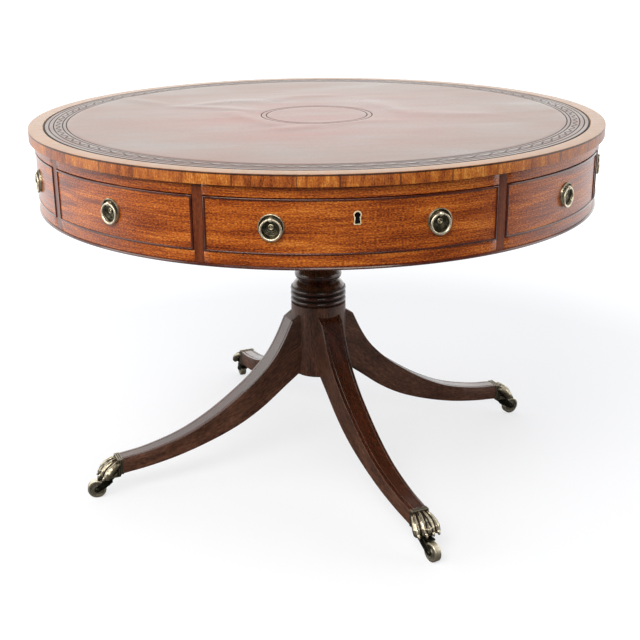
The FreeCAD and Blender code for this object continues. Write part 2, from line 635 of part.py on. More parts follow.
def column_reeds():
    """Arc steps down the column's ring of reeds."""
    steps, height = [], REED_TOP
    groove = DRUM_RADIUS - REED_DEPTH
    for _ in range(REED_COUNT):
        middle, height = height - REED_PITCH / 2, height - REED_PITCH
        steps.append(((DRUM_RADIUS + REED_PROUD, middle), (groove, height)))
    return steps


def make_column():
    torus_inside = NECK_RADIUS + TORUS_FILLET
    groove = DRUM_RADIUS - REED_DEPTH
    edge = COLUMN_TOP - COLUMN_TOP_EDGE
    body = turned((0, COLUMN_TOP), (COLUMN_TOP_RADIUS, COLUMN_TOP), (COLUMN_TOP_RADIUS, edge),
                  (COLUMN_TOP_RADIUS - COLUMN_TOP_STEP, edge),
                  ((VASE_TOP_RADIUS + COVE_SINK, VASE_TOP_HEIGHT + COVE_SINK), (VASE_TOP_RADIUS, VASE_TOP_HEIGHT)),
                  ((VASE_RADIUS, VASE_HEIGHT), (WAIST_RADIUS, WAIST_HEIGHT)),
                  (torus_inside, TORUS_HEIGHT + TORUS_HALF),
                  ((TORUS_RADIUS, TORUS_HEIGHT), (torus_inside, TORUS_HEIGHT - TORUS_HALF)),
                  (NECK_RADIUS, NECK_HEIGHT),
                  ((OVOLO_RADIUS, OVOLO_HEIGHT), (groove, REED_TOP)), *column_reeds(),
                  (DRUM_RADIUS, REED_TOP - REED_COUNT * REED_PITCH),
                  (DRUM_RADIUS, COLUMN_BOTTOM), (0, COLUMN_BOTTOM))
    body = body.cut(drum(SPINDLE_RADIUS, COLUMN_TOP - SPINDLE_DEPTH, COLUMN_TOP + OVERRUN))
    for turn in LEG_TURNS:
        body = body.cut(spun(dovetail(OVERRUN), turn))
    return body


def make_spindle():
    """An iron spindle with a broad nut that rests over the hub."""
    nut_bottom = HUB_TOP + RUNNING_GAP
    shaft = drum(SPINDLE_RADIUS, COLUMN_TOP - SPINDLE_DEPTH, nut_bottom + NUT_HEIGHT)
    nut = ring(SPINDLE_RADIUS, NUT_RADIUS, nut_bottom, nut_bottom + NUT_HEIGHT)
    return shaft, nut


def toe(offset):
    """A straight toe with two round ends, that slopes down to the front."""
    back = V(ANKLE_RADIUS + TOE_BACK, offset, TOE_BACK_HEIGHT)
    front = V(ANKLE_RADIUS + TOE_FRONT, offset, TOE_FRONT_HEIGHT)
    way = front - back
    knuckle = Part.makeSphere(TOE_RADIUS, back)
    tip = Part.makeSphere(TOE_RADIUS, front)
    return Part.makeCylinder(TOE_RADIUS, way.Length, back, way).fuse([knuckle, tip])


def make_paw(leg):
    low, high = ANKLE_BOTTOM - CAP_WALL, ANKLE_TOP + CAP_WALL
    half = LEG_WIDTH_ANKLE / 2 + CAP_WALL
    start = ANKLE_RADIUS + COLLAR_FRONT
    collar = block((ANKLE_RADIUS - COLLAR_BACK, start), (-half, half), (low, high))
    heel, front = ANKLE_RADIUS + PAW_HEEL, ANKLE_RADIUS + PAW_LENGTH
    body = outline((start - COLLAR_STEP, low + COLLAR_STEP), (heel, PAW_BOTTOM), (front, PAW_BOTTOM),
                   (front, PAW_TOE_TOP), (ANKLE_RADIUS + PAW_INSTEP_LENGTH, PAW_INSTEP),
                   (start - COLLAR_STEP, high - COLLAR_STEP))
    body = body.extrude(V(0, PAW_WIDTH, 0)).translated(V(0, -PAW_WIDTH / 2, 0))
    paw = collar.fuse(body)
    first = -(TOE_COUNT - 1) / 2 * TOE_PITCH
    paw = paw.fuse([toe(first + number * TOE_PITCH) for number in range(TOE_COUNT)])
    stem_bore = Part.makeCylinder(STEM_RADIUS + SHAFT_GAP, STEM_LENGTH + OVERRUN,
                                  V(CASTOR_RADIUS, 0, PAW_BOTTOM - OVERRUN))
    return paw.cut([leg, stem_bore])


# Castors, built with the swivel axis on the Z axis and the wheel behind it along +X

def make_fork():
    top = PAW_BOTTOM - RUNNING_GAP
    bottom = top - FORK_PLATE
    outside = WHEEL_HALF_SPACE + FORK_ARM
    plate = drum(FORK_PLATE_RADIUS, bottom, top)
    stem = drum(STEM_RADIUS, bottom, top + STEM_LENGTH)
    bridge = block((-FORK_BACK, FORK_BRIDGE_FRONT), (-outside, outside), (top - FORK_BRIDGE_HEIGHT, top))
    chord = FORK_EYE_RADIUS * math.sqrt(0.5)
    arm = outline((-FORK_BACK, top), (FORK_BRIDGE_FRONT, top), (WHEEL_TRAIL + chord, WHEEL_RADIUS + chord),
                  (WHEEL_TRAIL - chord, WHEEL_RADIUS - chord), (-FORK_BACK, top - FORK_BRIDGE_HEIGHT))
    arm = arm.extrude(V(0, FORK_ARM, 0)).fuse(across(FORK_EYE_RADIUS, 0, FORK_ARM))
    arms = [moved(arm, 0, WHEEL_HALF_SPACE, 0), moved(arm, 0, -outside, 0)]
    axle = across(AXLE_RADIUS, -outside - AXLE_HEAD, outside + AXLE_HEAD)
    heads = [across(AXLE_HEAD_RADIUS, outside, outside + AXLE_HEAD),
             across(AXLE_HEAD_RADIUS, -outside - AXLE_HEAD, -outside)]
    return plate.fuse([stem, bridge, *arms, axle, *heads])


def across(radius, low, high):
    """A cylinder along the wheel's axle, between two distances from the wheel's middle."""
    return Part.makeCylinder(radius, high - low, V(WHEEL_TRAIL, low, WHEEL_RADIUS), V(0, 1, 0))


def make_wheel():
    half, web = WHEEL_WIDTH / 2, WHEEL_WEB / 2
    bore = AXLE_RADIUS + SHAFT_GAP
    rim = WHEEL_RADIUS - WHEEL_RIM
    edge = WHEEL_RADIUS - WHEEL_ROUND
    c = WHEEL_ROUND * (1 - math.sqrt(0.5))
    wheel = turned((bore, -half), (WHEEL_HUB_RADIUS, -half), (WHEEL_HUB_RADIUS, -web), (rim, -web), (rim, -half),
                   (edge, -half), ((WHEEL_RADIUS - c, c - half), (WHEEL_RADIUS, WHEEL_ROUND - half)),
                   (WHEEL_RADIUS, half - WHEEL_ROUND), ((WHEEL_RADIUS - c, half - c), (edge, half)),
                   (rim, half), (rim, web), (WHEEL_HUB_RADIUS, web), (WHEEL_HUB_RADIUS, half), (bore, half))
    return moved(wheel.rotated(ORIGIN, V(1, 0, 0), 90), WHEEL_TRAIL, 0, WHEEL_RADIUS)


def make_base():
    leg = make_leg()
    paw = make_paw(leg)
    save("column", make_column())
    save("spindle", *make_spindle())
    save("paw_caps", *[spun(paw, turn) for turn in LEG_TURNS])
    fork, wheel = make_fork(), make_wheel()
    for number, (turn, rest) in enumerate(zip(LEG_TURNS, CASTOR_REST_TURNS), start=1):
        save("leg_%d" % number, spun(leg, turn))
        for name, piece in (("castor_fork", fork), ("castor_wheel", wheel)):
            placed = moved(spun(piece, rest), CASTOR_RADIUS, 0, 0)
            save("%s_%d" % (name, number), spun(placed, turn))


os.makedirs("parts", exist_ok=True)
make_top()
make_rails()
make_stiles()
make_carcase()
make_long_drawers()
make_short_drawers()
make_base()
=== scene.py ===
import bpy
import bmesh
import math
from functools import partial
from bpy.props import FloatProperty, FloatVectorProperty, PointerProperty
from mathutils import Matrix, Vector, noise


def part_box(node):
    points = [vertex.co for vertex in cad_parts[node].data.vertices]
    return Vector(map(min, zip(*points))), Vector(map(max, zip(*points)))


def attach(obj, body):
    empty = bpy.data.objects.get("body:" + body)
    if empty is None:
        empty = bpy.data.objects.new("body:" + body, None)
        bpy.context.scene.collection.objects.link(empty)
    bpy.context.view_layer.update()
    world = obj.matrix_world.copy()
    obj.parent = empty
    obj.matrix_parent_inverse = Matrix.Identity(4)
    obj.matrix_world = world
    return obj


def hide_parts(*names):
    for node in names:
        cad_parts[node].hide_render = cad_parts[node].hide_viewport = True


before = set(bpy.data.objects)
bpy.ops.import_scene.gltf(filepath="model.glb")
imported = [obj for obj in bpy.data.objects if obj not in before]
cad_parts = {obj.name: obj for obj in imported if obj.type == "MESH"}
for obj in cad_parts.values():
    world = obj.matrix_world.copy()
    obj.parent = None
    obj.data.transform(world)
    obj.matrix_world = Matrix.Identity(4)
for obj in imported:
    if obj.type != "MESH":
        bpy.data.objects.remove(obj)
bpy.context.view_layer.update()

bl_info = {
    "name": "Drum table",
    "version": (1, 0, 0),
    "blender": (4, 5, 0),
    "location": "3D View > Sidebar > Drum table",
    "description": "Dresses a revolving drum table with its leather top, drawers, column, legs and castors",
    "category": "Object",
}

# Every size below is in millimetres and every angle in degrees
MM = 0.001


def node_box(node):
    """Lowest and highest corner of a node at rest, in millimetres."""
    return [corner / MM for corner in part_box(node)]


TOP_LOW, TOP_HIGH = node_box("top_banding")
UPPER_LOW, UPPER_HIGH = node_box("upper_rail")
LOWER_LOW, LOWER_HIGH = node_box("lower_rail")
LEATHER_LOW, LEATHER_HIGH = node_box("leather_top")

# Top
TABLE_HEIGHT = TOP_HIGH.z
TOP_RADIUS = TOP_HIGH.x
TOP_UNDERSIDE = TOP_LOW.z
LEATHER_RADIUS = LEATHER_HIGH.x
LEATHER_BOTTOM = LEATHER_LOW.z
EDGE_BAND = 3.0
EDGE_ROUND = 1.2
ARRIS_LINE_WIDTH = 3.0          # dark line just under the arris
ARRIS_LINE_DROP = 0.4           # from the top surface down to the dark line
BLOCK_CONTRAST = 0.09       # how much the tone may differ between blocks
FADED_SHEEN_SHADE = "#a78a70"     # of the crossbanding's top face: paler tan, partly sun fading and partly painted sheen
PORE_DEPTH = 0.25
BLOCK_LENGTH = 83.0         # length of a block of the crossbanding
JOINT_LINE = 2.0            # width of the glued joint between two blocks, dark with old polish
FADED_SHEEN_STREAKS = (60.0, 2.5, 2.5)            # the fading and painted sheen follow the grain in streaks of this size
FADED_SHEEN_SHARE = 0.42          # the top is paled by this share at least, and up to this much more
FADED_SHEEN_SPREAD_SHARE = 0.75
BLOCK_WANDER = (4000.0, 130.0, 130.0)       # the blocks' lengths differ over stretches of this size
JOINT_SHARE = 0.7           # how dark the joints are on the edge, and on the top with its fading and painted sheen
JOINT_TOP_SHARE = 0.1
DARK_SHARE = 0.92
LEATHER_JOINT = 1.5         # open joint between leather and banding
LEATHER_ROLL = 0.7
LEATHER_RING = 9.0          # spacing of the leather's rings of vertices
LEATHER_CALM = 60.0         # the creases fade out this far from the leather's edge
CREASE_HEIGHT = 0.25
CREASE_LENGTH = 220.0
CREASE_WIDTH = 80.0
# Sharper creases, from the photograph: the two ends of each on the table, then its half width and height
CREASES = (((-421, 308), (-276, 169), 22, 1.5), ((-276, 169), (-121, 52), 20, 1.8),
           ((-251, 152), (-92, 207), 24, 1.6), ((-92, 207), (56, 240), 24, 1.4),
           ((-161, 58), (-105, -113), 22, 1.8), ((-112, -155), (12, -111), 24, 1.4),
           ((128, 141), (186, -24), 22, 1.6), ((186, -24), (330, -60), 30, 1.0),
           ((12, -111), (150, -95), 26, 1.0))
CREASE_TAPER_SHARE = 0.6
CREASE_DRIFT = 26.0         # the creases wander this far off their straight lines
CREASE_DRIFT_LENGTH = 110.0
TOOLED_LINES = (98.5, 108.4, 479.5, 486.5, 503.0, 511.5)
TOOLED_WIDTH = 1.3
TOOLED_CLEAR = 2.6          # no other ring of vertices lies nearer to a tooled line
TOOLED_DEPTH = 0.25
LEATHER_EDGE_SHADE = 3.0          # painted shade: the leather is painted dark this far in from its edge, beside the open joint
MIDDLE_RADIUS = 160.0       # the middle keeps its red; the rest is worn grey-brown
MIDDLE_END = 400.0
SCROLL_BAND = (489.0, 500.5)
SCROLL_COUNT = 180          # repeats of the scroll round the band
# Shares of the band: the vine's swing and half its width, a bead's size, and how deep all of it is pressed
SCROLL_SWING_SHARE = 0.3
VINE_SHARE = 0.13
SCROLL_BEAD_SHARE = 0.22
SCROLL_SHARE = 0.7

# Drum
FRIEZE_RADIUS = UPPER_HIGH.x
FRIEZE_THICKNESS = 20.0
FRIEZE_BACK = FRIEZE_RADIUS - FRIEZE_THICKNESS
OPENING_TOP = UPPER_LOW.z
OPENING_BOTTOM = LOWER_HIGH.z
FOOT_BEAD_HEIGHT = 5.5
FOOT_BEAD_PROUD = LOWER_HIGH.x - FRIEZE_RADIUS
DRUM_BOTTOM = LOWER_LOW.z
RAIL_BOTTOM = DRUM_BOTTOM + FOOT_BEAD_HEIGHT
LONG_HALF = 234.8           # half the width of a long drawer's opening
SHORT_HALF = 161.3
JOINT_BEVEL = 0.4
LONG_TURNS = (0, 90, 180, 270)
EIGHTH_TURN = 45
SHORT_TURNS = [turn + EIGHTH_TURN for turn in LONG_TURNS]
BAY_SWEEP = 32.0            # the wall is spun this far each way before it is cut to its bay
BAY_STEPS = 32

# Drawers
FRONT_SIDE_GAP = 0.6
FRONT_TOP_GAP = 1.0
FRONT_BOTTOM_GAP = 0.3
BEAD_WIDTH = 3.4
BEAD_PROUD = 2.0
BEAD_ROUND = 1.25
BEAD_ANGLE = 50.0           # the bead is rounded where its faces meet at more than this
# How near to the back, the bead, the veneer or the outer face a face or edge of the front counts as on it
BACK_NEAR = 0.5
BEAD_NEAR = 0.02
PROUD_NEAR = 0.1
RIM_NEAR = 0.2
# The front's face is made of the faces whose normals rise and turn aside less than this
LEVEL_NORMAL = 0.5
END_NORMAL = 0.7
DRAWER_BOTTOM = OPENING_BOTTOM + FRONT_BOTTOM_GAP
DRAWER_TOP = OPENING_TOP - FRONT_TOP_GAP
DRAWER_MIDDLE = (OPENING_TOP + OPENING_BOTTOM) / 2

# Ring handles
HANDLE_ANGLE = 14.1
PLATE_RADIUS = 21.0
PLATE_FLOOR = 1.2
PLATE_RIM_WIDTH = 2.4
PLATE_RIM_HEIGHT = 3.4
PLATE_DISH_SLOPE = 0.9
DISH_RINGS = (13.8, 11.0, 8.2)
DISH_RING_HEIGHT = 0.45
DISH_RING_HALF = 0.9
BOSS_RADIUS = 3.7
BOSS_WIDTH = 1.7
BOSS_HEIGHT = 2.8
DOT_RADIUS = 1.5
DOT_SHOULDER = 2.1
DOT_HEIGHT = 2.4
EYE_LIFT = 12.3
EYE_REACH = 5.7
EYE_RADIUS = 4.1
EYE_GAP = 0.35              # between the ring and its eye in the post
POST_RADIUS = 2.8
POST_NECK_SHARE = 0.8       # shares of the post's radius under the knob and at its end
KNOB_END_SHARE = 0.7
KNOB_END = 3.28             # from the eye out to the knob's flat end
RING_RADIUS = 16.2
RING_WIRE_RADIUS = 1.8
RING_SWELL = 0.3            # the wire is this much thicker at the bottom of the ring
PLATE_SEAT = math.sqrt(FRIEZE_RADIUS ** 2 - PLATE_RADIUS ** 2)

# Keyhole escutcheons
ESCUTCHEON_LIFT = 13.5
ESCUTCHEON_HEIGHT = 22.4
ESCUTCHEON_WIDTH = 13.2
ESCUTCHEON_WAIST = 10.4
ESCUTCHEON_FOOT = 12.4
ESCUTCHEON_CORNER = 2.6
ESCUTCHEON_THICKNESS = 1.5
ESCUTCHEON_PROUD = 0.4
ESCUTCHEON_BEVEL = 0.25
KEYHOLE_RADIUS = 4.7
KEYHOLE_LIFT = 4.6
KEYHOLE_DROP = 13.8
KEYHOLE_NECK = 6.4
KEYHOLE_FOOT = 8.6
KEYHOLE_DEPTH = 9.0
KEYHOLE_STEPS = 16
ESCUTCHEON_SIDE_STEPS = 8
ESCUTCHEON_CROWN_STEPS = 12

# Locks
LOCK_WIDTH = 42.0
LOCK_HEIGHT = 50.0
LOCK_DEPTH = 10.0
LOCK_PROUD = 1.0
BOLT_WIDTH = 15.0
BOLT_INSIDE = 521.5         # from the table's axis to the bolt's near and far face
BOLT_OUTSIDE = 527.5
MORTISE_GAP = 0.4
MORTISE_DEPTH = 6.8

# Column, from the top down
COLUMN_TOP = node_box("column")[1].z
COLUMN_BOTTOM = node_box("column")[0].z
COLUMN_TOP_RADIUS = 95.0
COLUMN_TOP_EDGE = 16.0
COLUMN_TOP_STEP = 6.0
VASE_TOP_RADIUS = 34.0
VASE_TOP_HEIGHT = 530.0
COVE_SINK = 14.0
VASE_RADIUS = 42.0
VASE_HEIGHT = 490.0
WAIST_RADIUS = 35.0
WAIST_HEIGHT = 436.0
TORUS_RADIUS = 48.5
TORUS_HEIGHT = 408.0
TORUS_HALF = 9.5
TORUS_FILLET = 2.0
NECK_RADIUS = 41.0
NECK_HEIGHT = 396.0
OVOLO_RADIUS = 50.0
OVOLO_HEIGHT = 389.0
DRUM_RADIUS = 56.3
REED_DEPTH = 3.2
REED_PROUD = 0.8
REED_PITCH = 11.6
REED_TOP = 383.0
REED_COUNT = 3
COLUMN_FOOT_ROUND = 3.0

# Legs
BASE_TURN = 17.5
LEG_TURNS = [BASE_TURN + quarter for quarter in LONG_TURNS]
ANKLE_RADIUS = 438.0
SHOULDER_HEIGHT = 326.0
COLUMN_SLOPE = 38.0
LEG_ROOT = 44.0             # the leg starts this far from the axis, inside the column
LEG_WIDTH_TOP = 50.0
LEG_WIDTH_ANKLE = 33.0
LEG_ARRIS = 1.4
ARRIS_ROUND_SHARE = 0.3
LEG_SHARP_ANGLE = 25.0
LEG_BORDER = 5.5
LEG_GROOVE_WIDTH = 2.4
LEG_GROOVE_DEPTH = 1.2
LEG_STEPS = 5               # stations between two points of a leg's curves
ANKLE_TOP = 82.0            # height of the leg's top face where it meets its brass cap
ANKLE_BOTTOM = 50.0
# Shares of the ankle radius and of the rise from the ankle to the shoulder, along the leg's two long curves
LEG_UPPER_SHARES = ((0.156, 0.967), (0.201, 0.800), (0.251, 0.659), (0.320, 0.528), (0.400, 0.409),
                    (0.548, 0.234), (0.700, 0.105), (0.868, 0.027), (1.0, 0.0))
LEG_LOWER_SHARES = ((0.114, 0.565), (0.194, 0.471), (0.297, 0.345), (0.388, 0.255), (0.479, 0.187),
                    (0.594, 0.121), (0.731, 0.061), (0.868, 0.022), (1.0, 0.0))

# Paw caps
PAW_BOTTOM = 42.0
PAW_VOXEL = 0.9
PAW_SHARP_ANGLE = 80.0
MELT_RELAX_SHARE = 0.5
MELT_RELAX_STEPS = 3
SLEEVE_WALL = 1.1           # the brass sleeve over the end of the leg
SLEEVE_BACK = 2.0
SLEEVE_FRONT = 8.5
SLEEVE_REEDS = 3            # fine reeds round the sleeve
SLEEVE_REED = 2.2
SLEEVE_GROOVE = 0.7         # how far the sleeve sinks between them
SLEEVE_DULL = 0.42          # how little of the sleeve is rubbed bright
TOE_PITCH = 10.2
TOE_COUNT = 4
TOE_STEP_BACK = 4.5         # the outer toes end this much further back
TOE_STEP_DOWN = 2.0
# Reach from the ankle, height and radius along the body of the paw
PAW_BODY = ((5, 65, 15.0), (13, 63, 16.0), (22, 59, 16.5), (32, 55, 13.5))
SOLE_REACH = (2, 36)
SOLE_HALF = 15.0
SOLE_TOP = 55.0
SOLE_ROUND = 4.0
# Reach, height, share of the toes' pitch and radius along a toe, a tendon and a claw
TOE_LINE = ((9, 74.0, 0.80, 5.8), (18, 71.5, 0.98, 6.9), (27, 66.0, 1.16, 7.8), (34, 58.8, 1.28, 8.0),
            (37.5, 53.0, 1.32, 7.2))
TENDON_LINE = ((9, 80.0, 0.80, 1.5), (18, 78.4, 0.98, 1.8), (27, 73.6, 1.16, 1.6))
CLAW_LINE = ((43.0, 52.0, 1.34, 3.6), (46.0, 48.4, 1.34, 2.6))

# Castors
CASTOR_RADIUS = 462.0
CASTOR_REST_TURNS = (4, -6, -14, 7)
WHEEL_RADIUS = 18.5
WHEEL_WIDTH = 13.0
WHEEL_WEB = 8.0
WHEEL_RIM = 4.0
WHEEL_HUB_RADIUS = 6.0
WHEEL_ROUND = 1.6
WHEEL_SLOPE = 1.0           # the sunk sides slope by this much at the hub and the rim
WHEEL_TRAIL = 26.0
WHEEL_SIDE_GAP = 0.8
AXLE_RADIUS = 2.5
AXLE_HEAD_RADIUS = 4.0
AXLE_HEAD = 1.2
AXLE_HEAD_SLOPE = 1.0
AXLE_GAP = 0.1
FORK_ARM = 3.0
FORK_PLATE_RADIUS = 9.5
FORK_PLATE = 5.0
FORK_PLATE_BEVEL = 1.0
FORK_GAP = 0.3
FORK_EYE_RADIUS = 6.0
FORK_BACK = 6.0
FORK_BRIDGE_FRONT = 9.0
FORK_YOKE_FRONT = 10.0
FORK_BRIDGE_HEIGHT = 9.0
FORK_HOOD_FRONT = 24.0      # a thin hood runs forward over the wheel
FORK_HOOD = 3.6
FORK_WEB_BACK = 0.5         # a web joins the two arms behind the wheel
FORK_WEB_FRONT = 5.0
FORK_WEB_BOTTOM = 24.5
FORK_BEVEL = 0.8
# Middles of the arm's front and back edges, which are hollow curves: forward of the swivel, and height
FORK_FRONT_BEND = (18.2, 31.82)
FORK_BACK_BEND = (7.8, 22.2)

# Camera, from the photograph: distances from the table's axis and the floor
CAMERA_TURN = -6.5
CAMERA_DISTANCE = 2190.0
CAMERA_HEIGHT = 1084.6
CAMERA_PITCH = 19.62
CAMERA_YAW = 0.08
CAMERA_ROLL = -0.49
FOCAL_PIXELS = 1114.3
PHOTO_PIXELS = 640
SENSOR = 36.0
LENS_NEAR = 50.0

# Mesh work
ROUND_STEPS = 4
TURN_STEPS = 240
SMALL_STEPS = 48
LIMB_STEPS = 16
WIRE_STEPS = 12
FULL_TURN = 360
WELD = 0.001
SHARP_ANGLE = 38.0          # shading breaks where faces meet at more than this
CORNER_ANGLE = 60.0         # and corners are bevelled
FLAT_ANGLE = 1.0            # faces of a node's mesh that meet at less than this are one face
SEED = 7
WEAR_BASE = 0.3
WEAR_REACH = 0.085          # how far a ridge stands out where the tarnish is fully rubbed off
WEAR_SPOT_SHARE = 0.35
WEAR_SMOOTHING = 3


# Shapes

def arc(start, through, end, steps=ROUND_STEPS):
    """Points along an arc from start to end by way of a third point, without the start itself."""
    (ax, ay), (bx, by), (cx, cy) = start, through, end
    twice = 2 * (ax * (by - cy) + bx * (cy - ay) + cx * (ay - by))
    a, b, c = ax * ax + ay * ay, bx * bx + by * by, cx * cx + cy * cy
    x = (a * (by - cy) + b * (cy - ay) + c * (ay - by)) / twice
    y = (a * (cx - bx) + b * (ax - cx) + c * (bx - ax)) / twice
    first = math.atan2(ay - y, ax - x)
    sweep = (math.atan2(cy - y, cx - x) - first) % math.tau
    if (math.atan2(by - y, bx - x) - first) % math.tau > sweep:
        sweep -= math.tau
    radius = math.hypot(ax - x, ay - y)
    turns = [first + sweep * step / steps for step in range(1, steps + 1)]
    return [(x + radius * math.cos(turn), y + radius * math.sin(turn)) for turn in turns]


def outline(start, *steps):
    """Points of an outline; a step is a point, or a (through, end) pair for an arc."""
    points = [start]
    for step in steps:
        if isinstance(step[0], tuple):
            points += arc(points[-1], *step)
        else:
            points.append(step)
    return points


def loop(bm, points, closed=True):
    """Vertices on points, joined by edges."""
    verts = [bm.verts.new(point) for point in points]
    pairs = list(zip(verts, verts[1:]))
    if closed:
        pairs.append((verts[-1], verts[0]))
    return verts, [bm.edges.new(pair) for pair in pairs]


def weld(bm):
    bmesh.ops.remove_doubles(bm, verts=bm.verts, dist=WELD)


def swing(bm, angle, axis="Z"):
    """Turns a whole bmesh about an axis through the origin."""
    turned = Matrix.Rotation(math.radians(angle), 3, axis)
    bmesh.ops.rotate(bm, cent=(0, 0, 0), matrix=turned, verts=bm.verts)


def move(bm, matrix):
    bmesh.ops.transform(bm, matrix=matrix, verts=bm.verts)


def resize(bm, factor):
    bmesh.ops.scale(bm, vec=(factor,) * 3, verts=bm.verts)


def close(bm):
    """Fills the openings that a spin or a cut has left."""
    bmesh.ops.holes_fill(bm, edges=[edge for edge in bm.edges if edge.is_boundary], sides=0)


def about_axis(angle):
    """A turn about the Z axis, as a matrix."""
    return Matrix.Rotation(math.radians(angle), 4, "Z")


def corner_inset(radius):
    """How far the middle of a rounded corner lies in from each of its two sides."""
    return radius * (1 - math.sqrt(0.5))


def turning(points, steps=TURN_STEPS, closed=True, start=0, sweep=FULL_TURN):
    """A bmesh spun about the Z axis from (radius, height) points; the spin may be a part of a turn."""
    bm = bmesh.new()
    verts, edges = loop(bm, [(radius, 0, height) for radius, height in points], closed)
    swing(bm, start)
    bmesh.ops.spin(bm, geom=verts + edges, cent=(0, 0, 0), axis=(0, 0, 1), angle=math.radians(sweep),
                   steps=steps, use_merge=sweep == FULL_TURN)
    weld(bm)
    return bm


def slab(points, low, high):
    """An outline in the YZ plane, made thick from low to high along X."""
    bm = bmesh.new()
    verts, _ = loop(bm, [(low, y, z) for y, z in points])
    face = bm.faces.new(verts)
    grown = bmesh.ops.extrude_face_region(bm, geom=[face], use_keep_orig=True)
    moved = [item for item in grown["geom"] if isinstance(item, bmesh.types.BMVert)]
    bmesh.ops.translate(bm, vec=(high - low, 0, 0), verts=moved)
    bmesh.ops.recalc_face_normals(bm, faces=bm.faces)
    return bm


def skin(loops):
    """A closed skin over a row of closed loops of points, all with the same number of points."""
    bm = bmesh.new()
    rings = [loop(bm, points)[1] for points in loops]
    for near, far in zip(rings, rings[1:]):
        bmesh.ops.bridge_loops(bm, edges=near + far)
    bmesh.ops.holes_fill(bm, edges=rings[0] + rings[-1], sides=0)
    bmesh.ops.recalc_face_normals(bm, faces=bm.faces)
    return bm


def soften(bm, edges, width, segments=2):
    bmesh.ops.bevel(bm, geom=edges, offset=width, offset_type="OFFSET", segments=segments, profile=0.5,
                    affect="EDGES", clamp_overlap=True, material=-1)


def hard_edges(bm, angle=CORNER_ANGLE):
    """Edges where two faces meet at more than an angle."""
    return [edge for edge in bm.edges
            if len(edge.link_faces) == 2 and edge.calc_face_angle() > math.radians(angle)]


def cut(bm, turn, offset, keep_inside):
    """Cuts by the upright plane y = offset, turned about the table's axis, and closes the cut."""
    spin = Matrix.Rotation(math.radians(turn), 3, "Z")
    away = math.copysign(1, offset)
    bmesh.ops.bisect_plane(bm, geom=bm.verts[:] + bm.edges[:] + bm.faces[:],
                           plane_co=spin @ Vector((0, offset, 0)), plane_no=spin @ Vector((0, away, 0)),
                           clear_outer=keep_inside, clear_inner=not keep_inside)
    close(bm)


def join(bm, other, matrix=None, material=None):
    """Adds another bmesh to bm, moved by a matrix, with its own number in the list of materials."""
    mesh = bpy.data.meshes.new("joined")
    other.to_mesh(mesh)
    other.free()
    if matrix:
        mesh.transform(matrix)
    before = len(bm.faces)
    bm.from_mesh(mesh)
    bpy.data.meshes.remove(mesh)
    if material is not None:
        bm.faces.ensure_lookup_table()
        for face in bm.faces[before:]:
            face.material_index = material


def in_scene(name, data):
    """An object in the scene that holds a mesh, a lamp or a camera."""
    made = bpy.data.objects.new(name, data)
    bpy.context.scene.collection.objects.link(made)
    return made


def mesh_object(name, bm):
    """An object in the scene whose mesh takes over what a bmesh holds."""
    mesh = bpy.data.meshes.new(name)
    bm.to_mesh(mesh)
    bm.free()
    return in_scene(name, mesh)


def evaluated_mesh(made):
    """The mesh of an object after its modifiers."""
    bpy.context.view_layer.update()
    return bpy.data.meshes.new_from_object(made.evaluated_get(bpy.context.evaluated_depsgraph_get()))


def discard(made):
    mesh = made.data
    bpy.data.objects.remove(made)
    bpy.data.meshes.remove(mesh)


def pierce(made, cutter, slot=0):
    """Cuts a bmesh in millimetres out of an object's mesh; the cut's faces take the material in a slot."""
    resize(cutter, MM)
    for face in cutter.faces:
        face.material_index = slot
    tool = mesh_object("cutter", cutter)
    for material in made.data.materials:
        tool.data.materials.append(material)
    hole = made.modifiers.new("hole", "BOOLEAN")
    hole.object = tool
    hole.operation = "DIFFERENCE"
    hole.solver = "EXACT"
    whole = made.data
    made.data = evaluated_mesh(made)
    made.modifiers.clear()
    bpy.data.meshes.remove(whole)
    made.data.name = made.name
    discard(tool)


def node_copy(node, keep):
    """A welded copy of a node's mesh in millimetres, with only the solids whose middle passes a test."""
    bm = bmesh.new()
    bm.from_mesh(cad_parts[node].data)
    resize(bm, 1 / MM)
    weld(bm)
    seen, unwanted = set(), []
    for start in bm.verts:
        if start in seen:
            continue
        solid, queue = [], [start]
        seen.add(start)
        while queue:
            vert = queue.pop()
            solid.append(vert)
            beside = [edge.other_vert(vert) for edge in vert.link_edges]
            queue += [other for other in beside if other not in seen]
            seen.update(beside)
        middle = sum((vert.co for vert in solid), Vector()) / len(solid)
        if not keep(middle):
            unwanted += solid
    bmesh.ops.delete(bm, geom=unwanted, context="VERTS")
    bmesh.ops.dissolve_limit(bm, angle_limit=math.radians(FLAT_ANGLE), verts=bm.verts, edges=bm.edges)
    return bm


def girth(face, co):
    """Distance round the drum to a point, measured from its face's middle so that it never jumps."""
    middle = face.calc_center_median()
    apart = math.atan2(middle.x * co.y - middle.y * co.x, middle.x * co.x + middle.y * co.y)
    return (math.atan2(middle.y, middle.x) + apart) * FRIEZE_RADIUS


def lay_grain(bm, grain):
    """Writes the UV map in metres, along and across the grain; grain gives them from a face and a point."""
    layer = bm.loops.layers.uv.verify()
    for face in bm.faces:
        for corner in face.loops:
            corner[layer].uv = Vector(grain(face, corner.vert.co)) * MM


def grain_round(face, co):
    return girth(face, co), co.z + math.hypot(co.x, co.y)


def grain_upright(face, co):
    return co.z, girth(face, co) + math.hypot(co.x, co.y)


def piece(name, bm, body, finishes, replaced=(), sharp=SHARP_ANGLE):
    """Turns a bmesh in millimetres into a finished piece that rides on a body."""
    bmesh.ops.recalc_face_normals(bm, faces=bm.faces)
    resize(bm, MM)
    made = mesh_object(name, bm)
    mesh = made.data
    mesh.polygons.foreach_set("use_smooth", [True] * len(mesh.polygons))
    mesh.set_sharp_from_angle(angle=math.radians(sharp))
    for shade in finishes:
        mesh.materials.append(finish(shade))
    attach(made, body)
    if replaced:
        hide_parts(*replaced)
    return made


def dress(node, shade):
    """Gives a node that keeps its own shape a finish."""
    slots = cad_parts[node].material_slots
    if not slots:
        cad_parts[node].data.materials.append(finish(shade))
    for place in slots:
        place.material = finish(shade)


# Materials

